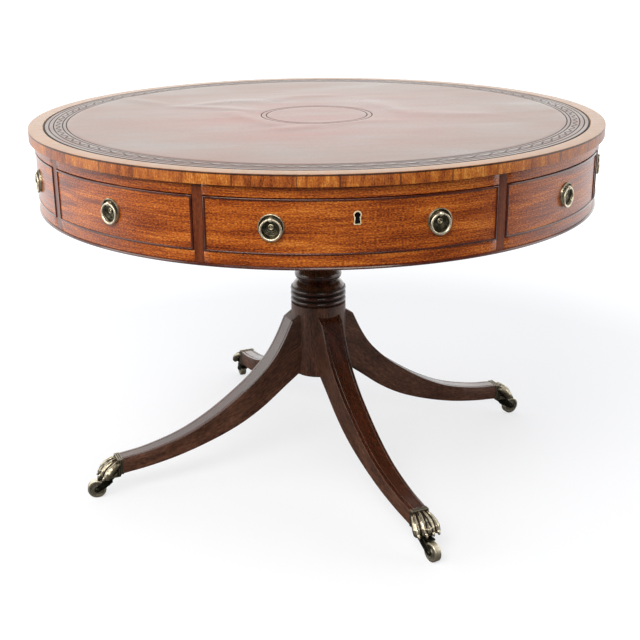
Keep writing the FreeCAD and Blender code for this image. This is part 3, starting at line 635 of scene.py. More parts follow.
def linear(hex_colour):
    """An sRGB hex colour as linear red, green, blue and alpha."""
    shares = [int(hex_colour[place:place + 2], 16) / 255 for place in (1, 3, 5)]
    return [share / 12.92 if share <= 0.04045 else ((share + 0.055) / 1.055) ** 2.4
            for share in shares] + [1.0]


# The main colour of each family of finishes, which the user may change
MAIN_COLOURS = {"veneer": "#b8601a", "crossbanding": "#bd6d22", "base_wood": "#5a3a2c", "leather": "#793c28",
                "brass": "#cfc6ae"}


def tinted(shade, family):
    """A shade, moved as far as the user has moved the main colour of its family, if it has one."""
    if family is None:
        return linear(shade)
    chosen = getattr(bpy.context.scene.drum_table_colours, family)
    usual = linear(MAIN_COLOURS[family])
    return [share * now / was for share, now, was in zip(linear(shade), chosen, usual)] + [1.0]


def node(tree, kind, inputs=(), out=0, stops=(), **settings):
    """Adds a shader node with its settings, its inputs (values or sockets to link) and any colour stops."""
    made = tree.nodes.new("ShaderNode" + kind)
    for name, value in settings.items():
        setattr(made, name, value)
    for name, value in inputs.items() if isinstance(inputs, dict) else enumerate(inputs):
        if isinstance(value, bpy.types.NodeSocket):
            tree.links.new(value, made.inputs[name])
        else:
            made.inputs[name].default_value = value
    for number, (place, colour) in enumerate(stops):
        elements = made.color_ramp.elements
        element = elements[number] if number < 2 else elements.new(place)
        element.position = place
        element.color = colour if isinstance(colour, list) else (colour, colour, colour, 1)
    if out is None:
        return made.outputs
    return made.outputs[out] if made.outputs else made


def material_tree(name):
    """A new material, its node tree, and the way to add nodes to that tree."""
    material = bpy.data.materials.new(name)
    material.use_nodes = True
    material.node_tree.nodes.clear()
    return material, partial(node, material.node_tree)


def blotches(add, coords, sizes, detail=2.0):
    """A pattern of soft blotches that measure sizes, in millimetres, along the three coordinates."""
    placed = add("Mapping", {"Vector": coords, "Scale": [1 / (size * MM) for size in sizes]})
    return add("TexNoise", {"Vector": placed, "Scale": 1.0, "Detail": detail, "Roughness": 0.55})


def wood_coords(add, on_uv):
    """UV of a dressed piece, or Object coordinates bent so that upright and level boards both show grain."""
    if on_uv:
        return add("UVMap")
    source = add("TexCoord", out=None)
    place = add("SeparateXYZ", (source["Object"],), out=None)
    facing = add("SeparateXYZ", (source["Normal"],), out=None)
    level = add("Math", (facing[2],), operation="ABSOLUTE")
    upright = add("Math", (1.0, level), operation="SUBTRACT")
    across = add("Math", (place[1], level, place[2]), operation="MULTIPLY_ADD")
    along = add("Math", (place[1], upright, place[0]), operation="MULTIPLY_ADD")
    return add("CombineXYZ", (along, across))


# Where a wood's tones lie on its noise, which keeps near its middle
TONE_START, TONE_SPREAD = 0.36, 0.28
# Sizes of the leather's and the brass's patterns, and the heights that they give the surface
LEATHER_PATCH = (260.0, 120.0, 120.0)
LEATHER_MOTTLE = (7.0, 5.0, 5.0)
LEATHER_GRAIN = (1.6, 1.6, 1.6)
LEATHER_GRAIN_DEPTH = 0.06
LEATHER_WAVE_HEIGHT = 1.6
BRASS_BLOTCH = (6.0, 6.0, 6.0)
BRASS_PIT = (1.2, 1.2, 1.2)
BRASS_PIT_DEPTH = 0.15
CLOSE_GRAIN_DEPTH = 0.2
# The leather's shades, dark and light, where it is worn and where it has kept its dye
LEATHER_WORN = ("#46281b", "#7c4c38")
LEATHER_KEPT = ("#54261c", "#955042")
LEATHER_BORDER = "#3a241d"
LEATHER_TOOLED = "#120a08"
LEATHER_COAT = 0.15
MOTTLE_SHARE = 0.35
BORDER_SHARE = 0.4
STREAK_SHARE = 0.4
JOINT_SHADE = "#22110a"


def wood(name, family, shades, pore_shade, smooth, rough, coat, on_uv=True, fleck=(4.0, 1.8),
         figure=(150.0, 16.0), pore=(6.0, 0.8), fleck_share=0.42, banded=False):
    """A wood from its shades, dark to light; the sizes of its patterns run along and across the grain."""
    material, add = material_tree(name)
    coords = wood_coords(add, on_uv)
    broad = blotches(add, coords, (*figure, figure[1]), detail=3.0)
    streak = blotches(add, coords, (figure[0] / 2, figure[1] / 7, figure[1] / 7))
    flecks = blotches(add, coords, (*fleck, fleck[1]), detail=1.5)
    tone = add("MixRGB", (STREAK_SHARE, broad, streak))
    tone = add("MixRGB", (fleck_share, tone, flecks))
    blocks = crossband_blocks(add, coords) if banded else None
    if banded:
        tone = add("Math", (blocks["shade"], BLOCK_CONTRAST, tone), operation="MULTIPLY_ADD")
    tones = [tinted(shade, family) for shade in shades]
    places = [TONE_START + TONE_SPREAD * step / (len(tones) - 1) for step in range(len(tones))]
    colour = add("ValToRGB", (tone,), stops=list(zip(places, tones)))
    pores = blotches(add, coords, (*pore, pore[1]), detail=1.0)
    open_pores = add("ValToRGB", (pores,), stops=((0.60, 0.0), (0.72, 0.75)))
    colour = add("MixRGB", (open_pores, colour, tinted(pore_shade, family)))
    if banded:
        # The top face is paled towards tan: partly sun fading, partly painted sheen
        colour = add("MixRGB", (blocks["top"], colour, tinted(FADED_SHEEN_SHADE, family)))
        colour = add("MixRGB", (blocks["dark"], colour, linear(JOINT_SHADE)))
    gloss = add("ValToRGB", (broad,), stops=((0.3, smooth), (0.7, rough)))
    height = add("Math", (open_pores, -0.8, flecks), operation="MULTIPLY_ADD")
    bump = add("Bump", {"Height": height, "Strength": 0.25, "Distance": PORE_DEPTH * MM})
    shader = add("BsdfPrincipled", {"Base Color": colour, "Roughness": gloss, "Normal": bump,
                                    "Coat Weight": coat, "Coat Roughness": 0.16, "IOR": 1.5})
    add("OutputMaterial", (shader,))
    return material


def crossband_blocks(add, coords):
    """Crossbanding: the shade of each block, how pale its top is from fading and painted sheen, and the dark
    joints and the dark line under the arris.
    """
    across = add("SeparateXYZ", (coords,), out=None)
    wander = blotches(add, coords, BLOCK_WANDER, detail=0.0)
    length = bpy.context.scene.drum_table_sizes.block_length
    blocks = add("Math", (across[1], 1 / length, wander), operation="MULTIPLY_ADD")
    number = add("Math", (blocks,), operation="FLOOR")
    own = add("TexWhiteNoise", {"W": number}, noise_dimensions="1D")
    shade = add("Math", (own, 0.5), operation="SUBTRACT")
    near = add("Math", (blocks, 0.5), operation="PINGPONG")
    joint = add("Math", (near, JOINT_LINE / 2 * MM / length), operation="LESS_THAN")
    # Along the grain the pattern runs out over the top and then down the edge, so it passes the arris here
    below = add("Math", (across[0], TOP_RADIUS * MM), operation="SUBTRACT")
    # A dark line runs round the edge just under the arris, at this drop and width
    off_arris_line = add("Math", (below, (ARRIS_LINE_DROP + ARRIS_LINE_WIDTH / 2) * MM), operation="SUBTRACT")
    off_arris_line = add("Math", (off_arris_line,), operation="ABSOLUTE")
    arris_line = add("Math", (off_arris_line, ARRIS_LINE_WIDTH / 2 * MM), operation="LESS_THAN")
    top = add("Math", (below, 0.0), operation="LESS_THAN")
    plain = add("Math", (top, JOINT_TOP_SHARE - JOINT_SHARE, JOINT_SHARE), operation="MULTIPLY_ADD")
    joint = add("Math", (joint, plain), operation="MULTIPLY")
    dark = add("Math", (joint, arris_line), operation="MAXIMUM")
    # How far the top is paled, by fading and painted sheen, in streaks along the grain
    streaks = blotches(add, coords, FADED_SHEEN_STREAKS)
    faded_sheen = add("Math", (streaks, FADED_SHEEN_SPREAD_SHARE, FADED_SHEEN_SHARE), operation="MULTIPLY_ADD")
    return {"shade": shade, "dark": add("Math", (dark, DARK_SHARE), operation="MULTIPLY"),
            "top": add("Math", (top, faded_sheen), operation="MULTIPLY")}


def ring_distance(add, radius, line):
    """How far a point is from a ring about the table's axis, as a share of the width of a tooled line."""
    off = add("Math", (radius, line * MM), operation="SUBTRACT")
    off = add("Math", (off,), operation="ABSOLUTE")
    return add("Math", (off, 1 / (TOOLED_WIDTH * MM)), operation="MULTIPLY")


def tooling(add, place):
    """Blind tooling, 1 in the pressed lines, the scroll between them and the painted shade along the
    leather's edge; then the border and the middle.
    """
    axes = add("SeparateXYZ", (place,), out=None)
    flat = add("CombineXYZ", (axes[0], axes[1]))
    radius = add("VectorMath", (flat,), out=1, operation="LENGTH")
    turn = add("Math", (axes[1], axes[0]), operation="ARCTAN2")
    marks = None
    for line in TOOLED_LINES:
        off = ring_distance(add, radius, line)
        mark = add("Math", (off, -2.0, 2.0), operation="MULTIPLY_ADD", use_clamp=True)
        marks = mark if marks is None else add("Math", (marks, mark), operation="MAXIMUM")
    inner, outer = SCROLL_BAND
    up = add("Math", (radius, (inner + outer) / 2 * MM), operation="SUBTRACT")
    up = add("Math", (up, 1 / ((outer - inner) * MM)), operation="MULTIPLY")
    from_middle = add("Math", (up,), operation="ABSOLUTE")
    inside = add("Math", (from_middle, 0.5), operation="LESS_THAN")
    swing_turn = add("Math", (turn, SCROLL_COUNT / 2), operation="MULTIPLY")
    wave = add("Math", (swing_turn,), operation="SINE")
    vine = add("Math", (wave, -SCROLL_SWING_SHARE, up), operation="MULTIPLY_ADD")
    vine = add("Math", (vine,), operation="ABSOLUTE")
    vine = add("Math", (vine, VINE_SHARE), operation="LESS_THAN")
    along = add("Math", (turn, SCROLL_COUNT / math.tau), operation="MULTIPLY")
    along = add("Math", (along, 0.5), operation="PINGPONG")
    bead = add("Math", (along, from_middle), operation="ADD")
    bead = add("Math", (bead, SCROLL_BEAD_SHARE), operation="LESS_THAN")
    scroll = add("Math", (vine, bead), operation="MAXIMUM")
    scroll = add("Math", (scroll, inside), operation="MULTIPLY")
    scroll = add("Math", (scroll, SCROLL_SHARE), operation="MULTIPLY")
    border = add("Math", (radius, TOOLED_LINES[2] * MM), operation="GREATER_THAN")
    # A band along the leather's edge is painted dark, like a tooled line, as shade in the joint
    edge_shade_start = LEATHER_RADIUS - LEATHER_JOINT - LEATHER_EDGE_SHADE
    edge = add("Math", (radius, edge_shade_start * MM), operation="GREATER_THAN")
    marks = add("Math", (marks, edge), operation="MAXIMUM")
    middle = add("MapRange", {"Value": radius, "From Min": MIDDLE_END * MM, "From Max": MIDDLE_RADIUS * MM})
    return add("Math", (marks, scroll), operation="MAXIMUM"), border, middle


def leather(name):
    """Thin sheepskin, dyed, glazed and blind tooled; age gives it soft creases and a dull, patchy gloss."""
    material, add = material_tree(name)
    place = add("TexCoord", out="Object")
    tooled, border, middle = tooling(add, place)
    patches = blotches(add, place, LEATHER_PATCH, detail=3.0)
    mottle = blotches(add, place, LEATHER_MOTTLE, detail=3.0)
    tone = add("MixRGB", (MOTTLE_SHARE, patches, mottle))
    worn, kept = (add("ValToRGB", (tone,), stops=((0.32, tinted(dark, "leather")),
                                                  (0.66, tinted(light, "leather"))))
                  for dark, light in (LEATHER_WORN, LEATHER_KEPT))
    colour = add("MixRGB", (middle, worn, kept))
    darkened = add("Math", (border, BORDER_SHARE), operation="MULTIPLY")
    colour = add("MixRGB", (darkened, colour, tinted(LEATHER_BORDER, "leather")))
    colour = add("MixRGB", (tooled, colour, tinted(LEATHER_TOOLED, "leather")))
    gloss = add("ValToRGB", (patches,), stops=((0.3, 0.27), (0.7, 0.36)))
    gloss = add("Math", (tooled, 0.4, gloss), operation="MULTIPLY_ADD")
    coat = add("Math", (tooled, -LEATHER_COAT, LEATHER_COAT), operation="MULTIPLY_ADD")
    grain = blotches(add, place, LEATHER_GRAIN)
    grain = add("Math", (grain, LEATHER_GRAIN_DEPTH), operation="MULTIPLY")
    waves = blotches(add, place, (CREASE_LENGTH, CREASE_WIDTH, CREASE_WIDTH), detail=2.0)
    height = add("Math", (waves, LEATHER_WAVE_HEIGHT, grain), operation="MULTIPLY_ADD")
    height = add("Math", (tooled, -TOOLED_DEPTH, height), operation="MULTIPLY_ADD")
    # The heights above are in millimetres
    bump = add("Bump", {"Height": height, "Strength": 0.6, "Distance": MM})
    shader = add("BsdfPrincipled", {"Base Color": colour, "Roughness": gloss, "Normal": bump,
                                    "Coat Weight": coat, "Coat Roughness": 0.3, "IOR": 1.5})
    add("OutputMaterial", (shader,))
    return material


def brass(name, bright, tarnish, smooth, rough, worn=False):
    """Cast yellow brass, tarnished in its hollows and rubbed bright where hands and feet reach it."""
    material, add = material_tree(name)
    place = add("TexCoord", out="Object")
    rubbed = blotches(add, place, BRASS_BLOTCH, detail=3.0)
    if worn:
        height = add("Attribute", out="Fac", attribute_name="wear")
        spots = add("Math", (rubbed, 0.5), operation="SUBTRACT")
        rubbed = add("Math", (spots, WEAR_SPOT_SHARE, height), operation="MULTIPLY_ADD")
    colour = add("ValToRGB", (rubbed,), stops=((0.3, tinted(tarnish, "brass")),
                                               (0.62, tinted(bright, "brass"))))
    gloss = add("ValToRGB", (rubbed,), stops=((0.3, rough), (0.7, smooth)))
    pits = blotches(add, place, BRASS_PIT)
    bump = add("Bump", {"Height": pits, "Strength": 0.2, "Distance": BRASS_PIT_DEPTH * MM})
    shader = add("BsdfPrincipled", {"Base Color": colour, "Metallic": 1.0, "Roughness": gloss,
                                    "Normal": bump})
    add("OutputMaterial", (shader,))
    return material


def close_grained(name, dark, light, size, roughness, metallic=0.0):
    """A close, even material, such as bone or iron: two near shades in soft blotches and a fine bump."""
    material, add = material_tree(name)
    place = add("TexCoord", out="Object")
    blotch = blotches(add, place, (size, size, size), detail=3.0)
    colour = add("ValToRGB", (blotch,), stops=((0.35, linear(dark)), (0.65, linear(light))))
    bump = add("Bump", {"Height": blotch, "Strength": 0.15, "Distance": CLOSE_GRAIN_DEPTH * MM})
    shader = add("BsdfPrincipled", {"Base Color": colour, "Metallic": metallic, "Roughness": roughness,
                                    "Normal": bump})
    add("OutputMaterial", (shader,))
    return material


def finish(name):
    """The material of one name, made at its first use."""
    if name in bpy.data.materials:
        return bpy.data.materials[name]
    maker, *choices = FINISHES[name]
    options = choices.pop() if choices and isinstance(choices[-1], dict) else {}
    return maker(name, *choices, **options)


FINISHES = {
    # Mahogany veneer, French polished: orange-brown, with short flecks in level streaks under a thin gloss
    "mahogany_veneer_french_polished": (wood, "veneer", ("#43180a", "#83380e", "#be6218", "#e29138"),
                                        "#3a1406", 0.28, 0.42, 0.3),
    # The same veneer on the upright stiles: redder and darker, because its grain stands on end
    "mahogany_veneer_stiles": (wood, "veneer", ("#40180b", "#6b2f0e", "#86431a"), "#2a0f07", 0.3, 0.45, 0.3,
                               {"fleck": (7.0, 2.0)}),
    # Mahogany laid across the edge in short blocks: golden on the edge, and paler tan on top, partly faded
    # by the sun and partly painted sheen
    "mahogany_crossbanding": (wood, "crossbanding", ("#62290c", "#9c501a", "#bd6d22", "#dc9a45"),
                              "#2e1408", 0.34, 0.5, 0.2,
                              {"fleck": (3.6, 2.4), "figure": (45.0, 13.0), "fleck_share": 0.3,
                               "banded": True}),
    # Solid mahogany slip, stained dark against the veneer, with a bright line of gloss on its round
    "mahogany_cock_bead": (wood, "veneer", ("#34100a", "#4d1c0f", "#642a17"), "#220b06", 0.16, 0.26, 0.6,
                           {"fleck": (12.0, 1.5)}),
    # Solid mahogany under old dark polish, nearly black where it turns away from the light, and glossy; its
    # near-black shades are also painted shade, under the drum on the column and on the legs' top faces
    "mahogany_turned_dark": (wood, "base_wood", ("#190906", "#30140b", "#461e11", "#582a18"), "#100604",
                             0.2, 0.3, 0.5, {"fleck": (11.0, 2.6), "figure": (170.0, 20.0)}),
    # The same wood, grey-brown, dull and mottled: partly dust where hands and dusters don't reach, partly
    # painted light that makes the legs' sides and the column's plain drum paler
    "mahogany_dull_sides": (wood, "base_wood", ("#28160f", "#492b1e", "#63402f", "#7e5540"), "#1d0e09",
                            0.42, 0.58, 0.12, {"fleck": (11.0, 3.0), "figure": (90.0, 24.0)}),
    # Oak drawer linings: planed, unpolished, with long pale grain
    "oak_drawer_lining": (wood, None, ("#8a683f", "#a98652", "#c0a06c"), "#5e4427", 0.6, 0.75, 0.0,
                          {"on_uv": False, "fleck": (20.0, 1.6), "figure": (260.0, 14.0),
                           "pore": (16.0, 0.9)}),
    # Pine of the carcase: planed, dusty, with wide soft rings
    "pine_carcase": (wood, None, ("#8f6a42", "#b08a58", "#c4a270"), "#7a5634", 0.65, 0.8, 0.0,
                     {"on_uv": False, "fleck": (30.0, 3.0), "figure": (380.0, 18.0),
                      "pore": (40.0, 1.6)}),
    # Sheepskin, dyed red-brown and glazed: the sheen turns it pale where it faces the light
    "skiver_blind_tooled": (leather,),
    # Cast brass of the paws: bright on the ridges of the toes, nearly black between them
    "brass_cast_tarnished": (brass, "#cfc6ae", "#3c342c", 0.24, 0.48, True),
    # Brass rubbed pale by hands and floors, on the ring handles and the wheels' treads
    "brass_rubbed": (brass, "#f4ecd6", "#c4bca6", 0.34, 0.5),
    # Brass gone dull on the plates' rims and bosses
    "brass_dull": (brass, "#bdb6a0", "#6c6656", 0.3, 0.5),
    # Brass greyed by wear and floor dirt, on the sides of the castor wheels
    "brass_grey": (brass, "#b4b1a2", "#6a685e", 0.42, 0.6),
    # Brass gone grey-green in the plates' dishes, with old polish between the fine rings
    "brass_patina_grey": (brass, "#625f50", "#211f19", 0.3, 0.5),
    # Brass left dark by oil and dirt, under the paws
    "brass_black_patina": (brass, "#4a4a40", "#141410", 0.3, 0.5),
    # Bone, sawn and polished: cream, with a faint yellow mottle
    "bone_polished": (close_grained, "#d8c8a2", "#efe4c8", 4.0, 0.35),
    # Painted shade in the grooves of the column: black, with a little shine
    "polish_in_grooves": (close_grained, "#0b0504", "#1a0d09", 6.0, 0.45),
    # Painted shade on the cut wood of a keyhole, whose inside lies in shade: black, with no shine
    "keyhole_grime": (close_grained, "#050403", "#0c0907", 3.0, 0.85),
    # Wrought iron, oiled: dark grey with a dull shine
    "iron_forged": (close_grained, "#2a2826", "#4a4744", 6.0, 0.5, 1.0),
}


# Top

def make_top(sizes):
    inner = TOP_RADIUS - EDGE_BAND
    rounding = sizes.edge_round / MM
    inset = corner_inset(rounding)
    points = outline((LEATHER_RADIUS, LEATHER_BOTTOM), (inner, LEATHER_BOTTOM), (inner, TOP_UNDERSIDE),
                     (TOP_RADIUS, TOP_UNDERSIDE), (TOP_RADIUS, TABLE_HEIGHT - rounding),
                     ((TOP_RADIUS - inset, TABLE_HEIGHT - inset), (TOP_RADIUS - rounding, TABLE_HEIGHT)),
                     (LEATHER_RADIUS, TABLE_HEIGHT))
    banding = turning(points)
    lay_grain(banding, lambda face, co: (math.hypot(co.x, co.y) + TABLE_HEIGHT - co.z, girth(face, co)))
    piece("crossbanding", banding, "drum", ["mahogany_crossbanding"], ["top_banding"])
    piece("leather", leather_sheet(sizes.crease_height / MM), "drum",
          ["skiver_blind_tooled"], ["leather_top"])
    dress("top_board", "pine_carcase")


def leather_sheet(crease_height):
    """The leather: pressed in along its tooled lines, rolled over at its edge and softly creased."""
    edge = LEATHER_RADIUS - LEATHER_JOINT
    radii = [ring * LEATHER_RING for ring in range(int((edge - LEATHER_ROLL) / LEATHER_RING) + 1)]
    points = [(radius, TABLE_HEIGHT) for radius in radii
              if all(abs(radius - line) > TOOLED_CLEAR for line in TOOLED_LINES)]
    for line in TOOLED_LINES:
        half = TOOLED_WIDTH / 2
        points += [(line - half, TABLE_HEIGHT), (line, TABLE_HEIGHT - TOOLED_DEPTH),
                   (line + half, TABLE_HEIGHT)]
    points.sort()
    points += [(edge - LEATHER_ROLL, TABLE_HEIGHT), (edge, TABLE_HEIGHT - LEATHER_ROLL),
               (edge, LEATHER_BOTTOM), (0, LEATHER_BOTTOM)]
    bm = turning(points, closed=False)
    noise.seed_set(SEED)
    for vert in bm.verts:
        if vert.co.z > TABLE_HEIGHT - LEATHER_ROLL:
            place = Vector((vert.co.x / CREASE_LENGTH, vert.co.y / CREASE_WIDTH, SEED))
            calm = min(1, (edge - vert.co.xy.length) / LEATHER_CALM)
            vert.co.z += crease_height * calm * noise.noise(place)
            drift = noise.noise_vector(vert.co / CREASE_DRIFT_LENGTH).xy * CREASE_DRIFT
            rise = max(crease_rise(vert.co.xy + drift, *crease) for crease in CREASES)
            vert.co.z += crease_height / CREASE_HEIGHT * rise
    return bm


def crease_rise(point, start, end, half, height):
    """How far one crease lifts the leather at a point; it is lower towards its ends."""
    start, way = Vector(start), Vector(end) - Vector(start)
    share = min(1, max(0, (point - start).dot(way) / way.length_squared))
    away = (point - start - share * way).length / half
    return height * (1 - CREASE_TAPER_SHARE * (2 * share - 1) ** 4) * math.exp(-away * away)


# Drum

def wall(points, turn, cuts):
    """A part of the drum's wall round a turn, trimmed by cuts: (turn, offset, whether the inside stays)."""
    bm = turning(points, steps=BAY_STEPS, start=turn - BAY_SWEEP, sweep=2 * BAY_SWEEP)
    close(bm)
    for place in cuts:
        cut(bm, *place)
    return bm


def wall_outline(low, high, outer=FRIEZE_RADIUS):
    return [(FRIEZE_BACK, low), (outer, low), (outer, high), (FRIEZE_BACK, high)]


def bays():
    """Turn and half width of the eight openings."""
    return [(turn, LONG_HALF) for turn in LONG_TURNS] + [(turn, SHORT_HALF) for turn in SHORT_TURNS]


def make_drum():
    rails, stiles = bmesh.new(), bmesh.new()
    for turn, half in bays():
        for low, high in ((OPENING_TOP, TOP_UNDERSIDE), (RAIL_BOTTOM, OPENING_BOTTOM)):
            join(rails, wall(wall_outline(low, high), turn, ((turn, half, True), (turn, -half, True))))
    for turn in LONG_TURNS:
        for side in (1, -1):
            beside = turn + side * EIGHTH_TURN
            edges = ((turn, side * LONG_HALF, False), (beside, -side * SHORT_HALF, False))
            join(stiles, wall(wall_outline(RAIL_BOTTOM, TOP_UNDERSIDE), (turn + beside) / 2, edges))
    for bm, name, grain, shade, replaced in (
            (rails, "rails", grain_round, "mahogany_veneer_french_polished", ["upper_rail", "lower_rail"]),
            (stiles, "stile_posts", grain_upright, "mahogany_veneer_stiles", ["stiles"])):
        soften(bm, hard_edges(bm), JOINT_BEVEL, 1)
        lay_grain(bm, grain)
        made = piece(name, bm, "drum", [shade], replaced)
        for turn in LONG_TURNS if name == "rails" else ():
            pierce(made, mortise_cutter(turn))
    outer = FRIEZE_RADIUS + FOOT_BEAD_PROUD
    half = FOOT_BEAD_HEIGHT / 2
    bead = turning(outline((FRIEZE_BACK, DRUM_BOTTOM), (FRIEZE_RADIUS, DRUM_BOTTOM),
                           ((outer, DRUM_BOTTOM + half), (FRIEZE_RADIUS, RAIL_BOTTOM)),
                           (FRIEZE_BACK, RAIL_BOTTOM)))
    lay_grain(bead, grain_round)
    piece("foot_bead", bead, "drum", ["mahogany_cock_bead"])
    for name in ("drum_floor", "partitions", "hub_block"):
        dress(name, "pine_carcase")


# Drawers

def drawer_front(turn, half, sizes):
    """A veneered front with its cock bead: material 0 is the veneer, 1 the bead and 2 the back."""
    half -= FRONT_SIDE_GAP
    proud = sizes.bead_proud / MM
    outer = FRIEZE_RADIUS + proud
    bm = wall(wall_outline(DRAWER_BOTTOM, DRAWER_TOP, outer), 0, ((0, half, True), (0, -half, True)))
    show = [face for face in bm.faces
            if min(vert.co.xy.length for vert in face.verts) > FRIEZE_RADIUS + proud / 2
            and abs(face.normal.z) < LEVEL_NORMAL and abs(face.normal.y) < END_NORMAL]
    bmesh.ops.inset_region(bm, faces=show, thickness=BEAD_WIDTH, use_even_offset=True, use_boundary=True)
    sunk = bmesh.ops.extrude_face_region(bm, geom=show)
    for item in sunk["geom"]:
        if isinstance(item, bmesh.types.BMVert):
            item.co.xy *= FRIEZE_RADIUS / outer
    bmesh.ops.delete(bm, geom=[face for face in show if face.is_valid], context="FACES_ONLY")
    rim = [edge for edge in hard_edges(bm, BEAD_ANGLE)
           if min(vert.co.xy.length for vert in edge.verts) > outer - RIM_NEAR]
    soften(bm, rim, BEAD_ROUND, 3)
    for face in bm.faces:
        middle = face.calc_center_median()
        inset = min(middle.z - DRAWER_BOTTOM, DRAWER_TOP - middle.z, half - abs(middle.y))
        if middle.xy.length < FRIEZE_BACK + BACK_NEAR:
            face.material_index = 2
        elif inset < BEAD_WIDTH - BEAD_NEAR or middle.xy.length > FRIEZE_RADIUS + PROUD_NEAR:
            face.material_index = 1
    lay_grain(bm, lambda face, co: front_grain(face, co, half, turn))
    swing(bm, turn)
    return bm


def front_grain(face, co, half, turn):
    """The grain runs round the drum on the panel and the level beads, and upright on the upright beads."""
    middle = face.calc_center_median()
    level = min(middle.z - DRAWER_BOTTOM, DRAWER_TOP - middle.z) < half - abs(middle.y)
    along, across = grain_round(face, co)
    along += math.radians(turn) * FRIEZE_RADIUS
    if face.material_index == 1 and not level:
        return across, along
    return along, across


def keyhole_outline():
    neck, foot = KEYHOLE_NECK / 2, KEYHOLE_FOOT / 2
    spring = -math.sqrt(KEYHOLE_RADIUS ** 2 - neck ** 2)
    points = [(foot, -KEYHOLE_DROP), (neck, spring)]
    points += arc((neck, spring), (0, KEYHOLE_RADIUS), (-neck, spring), KEYHOLE_STEPS)
    return points + [(-foot, -KEYHOLE_DROP)]


def escutcheon_outline():
    half, waist, foot = ESCUTCHEON_WIDTH / 2, ESCUTCHEON_WAIST / 2, ESCUTCHEON_FOOT / 2
    top, bottom = ESCUTCHEON_HEIGHT / 2, -ESCUTCHEON_HEIGHT / 2
    shoulder = top - half
    middle = (shoulder + bottom) / 2
    corner = bottom + ESCUTCHEON_CORNER
    inset = corner_inset(ESCUTCHEON_CORNER)
    points = outline((foot - ESCUTCHEON_CORNER, bottom), ((foot - inset, bottom + inset), (foot, corner)))
    points += arc(points[-1], (waist, middle), (half, shoulder), ESCUTCHEON_SIDE_STEPS)
    points += arc(points[-1], (0, top), (-half, shoulder), ESCUTCHEON_CROWN_STEPS)
    points += arc(points[-1], (-waist, middle), (-foot, corner), ESCUTCHEON_SIDE_STEPS)
    return points + arc(points[-1], (inset - foot, bottom + inset), (ESCUTCHEON_CORNER - foot, bottom))


def on_lock(turn):
    """Moves a slab in the YZ plane onto the face of the long drawer at a turn."""
    return about_axis(turn) @ Matrix.Translation((FRIEZE_RADIUS, 0, DRAWER_MIDDLE + ESCUTCHEON_LIFT))


def keyhole_cutter(turn):
    cutter = slab(keyhole_outline(), -KEYHOLE_DEPTH, KEYHOLE_DEPTH)
    move(cutter, on_lock(turn) @ Matrix.Translation((0, 0, KEYHOLE_LIFT)))
    return cutter


def block_cutter(turn, half, heights, reaches):
    """A square block behind the drum's face at a turn; reaches are measured out from the table's axis."""
    low, high = heights
    cutter = slab(((-half, low), (half, low), (half, high), (-half, high)), *reaches)
    swing(cutter, turn)
    return cutter


def lock_cutter(turn):
    """The recess for the lock's case, open at the back and the top edge of the front."""
    return block_cutter(turn, LOCK_WIDTH / 2, (DRAWER_TOP - LOCK_HEIGHT, DRAWER_TOP + LOCK_PROUD),
                        (FRIEZE_BACK - LOCK_PROUD, FRIEZE_BACK + LOCK_DEPTH))


def mortise_cutter(turn):
    """The mortise in the upper rail that the bolt slides up into."""
    return block_cutter(turn, BOLT_WIDTH / 2 + MORTISE_GAP,
                        (OPENING_TOP - MORTISE_GAP, OPENING_TOP + MORTISE_DEPTH),
                        (BOLT_INSIDE - MORTISE_GAP, BOLT_OUTSIDE + MORTISE_GAP))


def inner_fittings(node_name, body):
    """The lock's case and the handles' nuts, which keep the shape that the frame gives them."""
    kept = node_copy(node_name, lambda middle: middle.xy.length < FRIEZE_BACK + LOCK_DEPTH)
    piece(node_name + "_inside", kept, body, ["brass_dull"], [node_name])


# Slots of a drawer front: veneer, bead, bare back, and the cut wood of the keyhole, painted black as shade
FRONT_FINISHES = ("mahogany_veneer_french_polished", "mahogany_cock_bead", "oak_drawer_lining",
                  "keyhole_grime")
BACK_SLOT, KEYHOLE_SLOT = 2, 3


def make_long_drawers(sizes):
    for number, turn in enumerate(LONG_TURNS, start=1):
        body, fittings = "long_drawer_%d" % number, "long_drawer_fittings_%d" % number
        front = piece("long_front_%d" % number, drawer_front(turn, LONG_HALF, sizes), body,
                      FRONT_FINISHES, ["long_drawer_front_%d" % number])
        # The keyhole's walls take the black painted shade
        pierce(front, keyhole_cutter(turn), slot=KEYHOLE_SLOT)
        pierce(front, lock_cutter(turn), slot=BACK_SLOT)
        plate = slab(escutcheon_outline(), ESCUTCHEON_PROUD - ESCUTCHEON_THICKNESS, ESCUTCHEON_PROUD)
        rim = [edge for edge in hard_edges(plate) if min(vert.co.x for vert in edge.verts) > 0]
        soften(plate, rim, ESCUTCHEON_BEVEL)
        move(plate, on_lock(turn))
        bone = piece("escutcheon_%d" % number, plate, body,
                     ["bone_polished", "keyhole_grime"], [fittings])
        # The keyhole's walls through the bone take the black painted shade
        pierce(bone, keyhole_cutter(turn), slot=1)
        inner_fittings(fittings, body)
        dress("long_drawer_box_%d" % number, "oak_drawer_lining")
        dress("lock_bolt_%d" % number, "iron_forged")


def make_short_drawers(sizes):
    for number, turn in enumerate(SHORT_TURNS, start=1):
        name = "short_drawer_%d" % number
        piece("short_front_%d" % number, drawer_front(turn, SHORT_HALF, sizes), name,
              FRONT_FINISHES, [name])
        boards = node_copy(name, lambda middle: middle.xy.length < FRIEZE_BACK)
        piece("short_box_%d" % number, boards, name, ["oak_drawer_lining"], [name])
        inner_fittings("short_drawer_fittings_%d" % number, name)


# Ring handles, modelled with the drawer's face at x = 0 and the plate's middle at the origin

def on_front(angle):
    """Moves a handle's piece onto the drum, at an angle about the table's axis."""
    return about_axis(angle) @ Matrix.Translation((PLATE_SEAT, 0, DRAWER_MIDDLE))


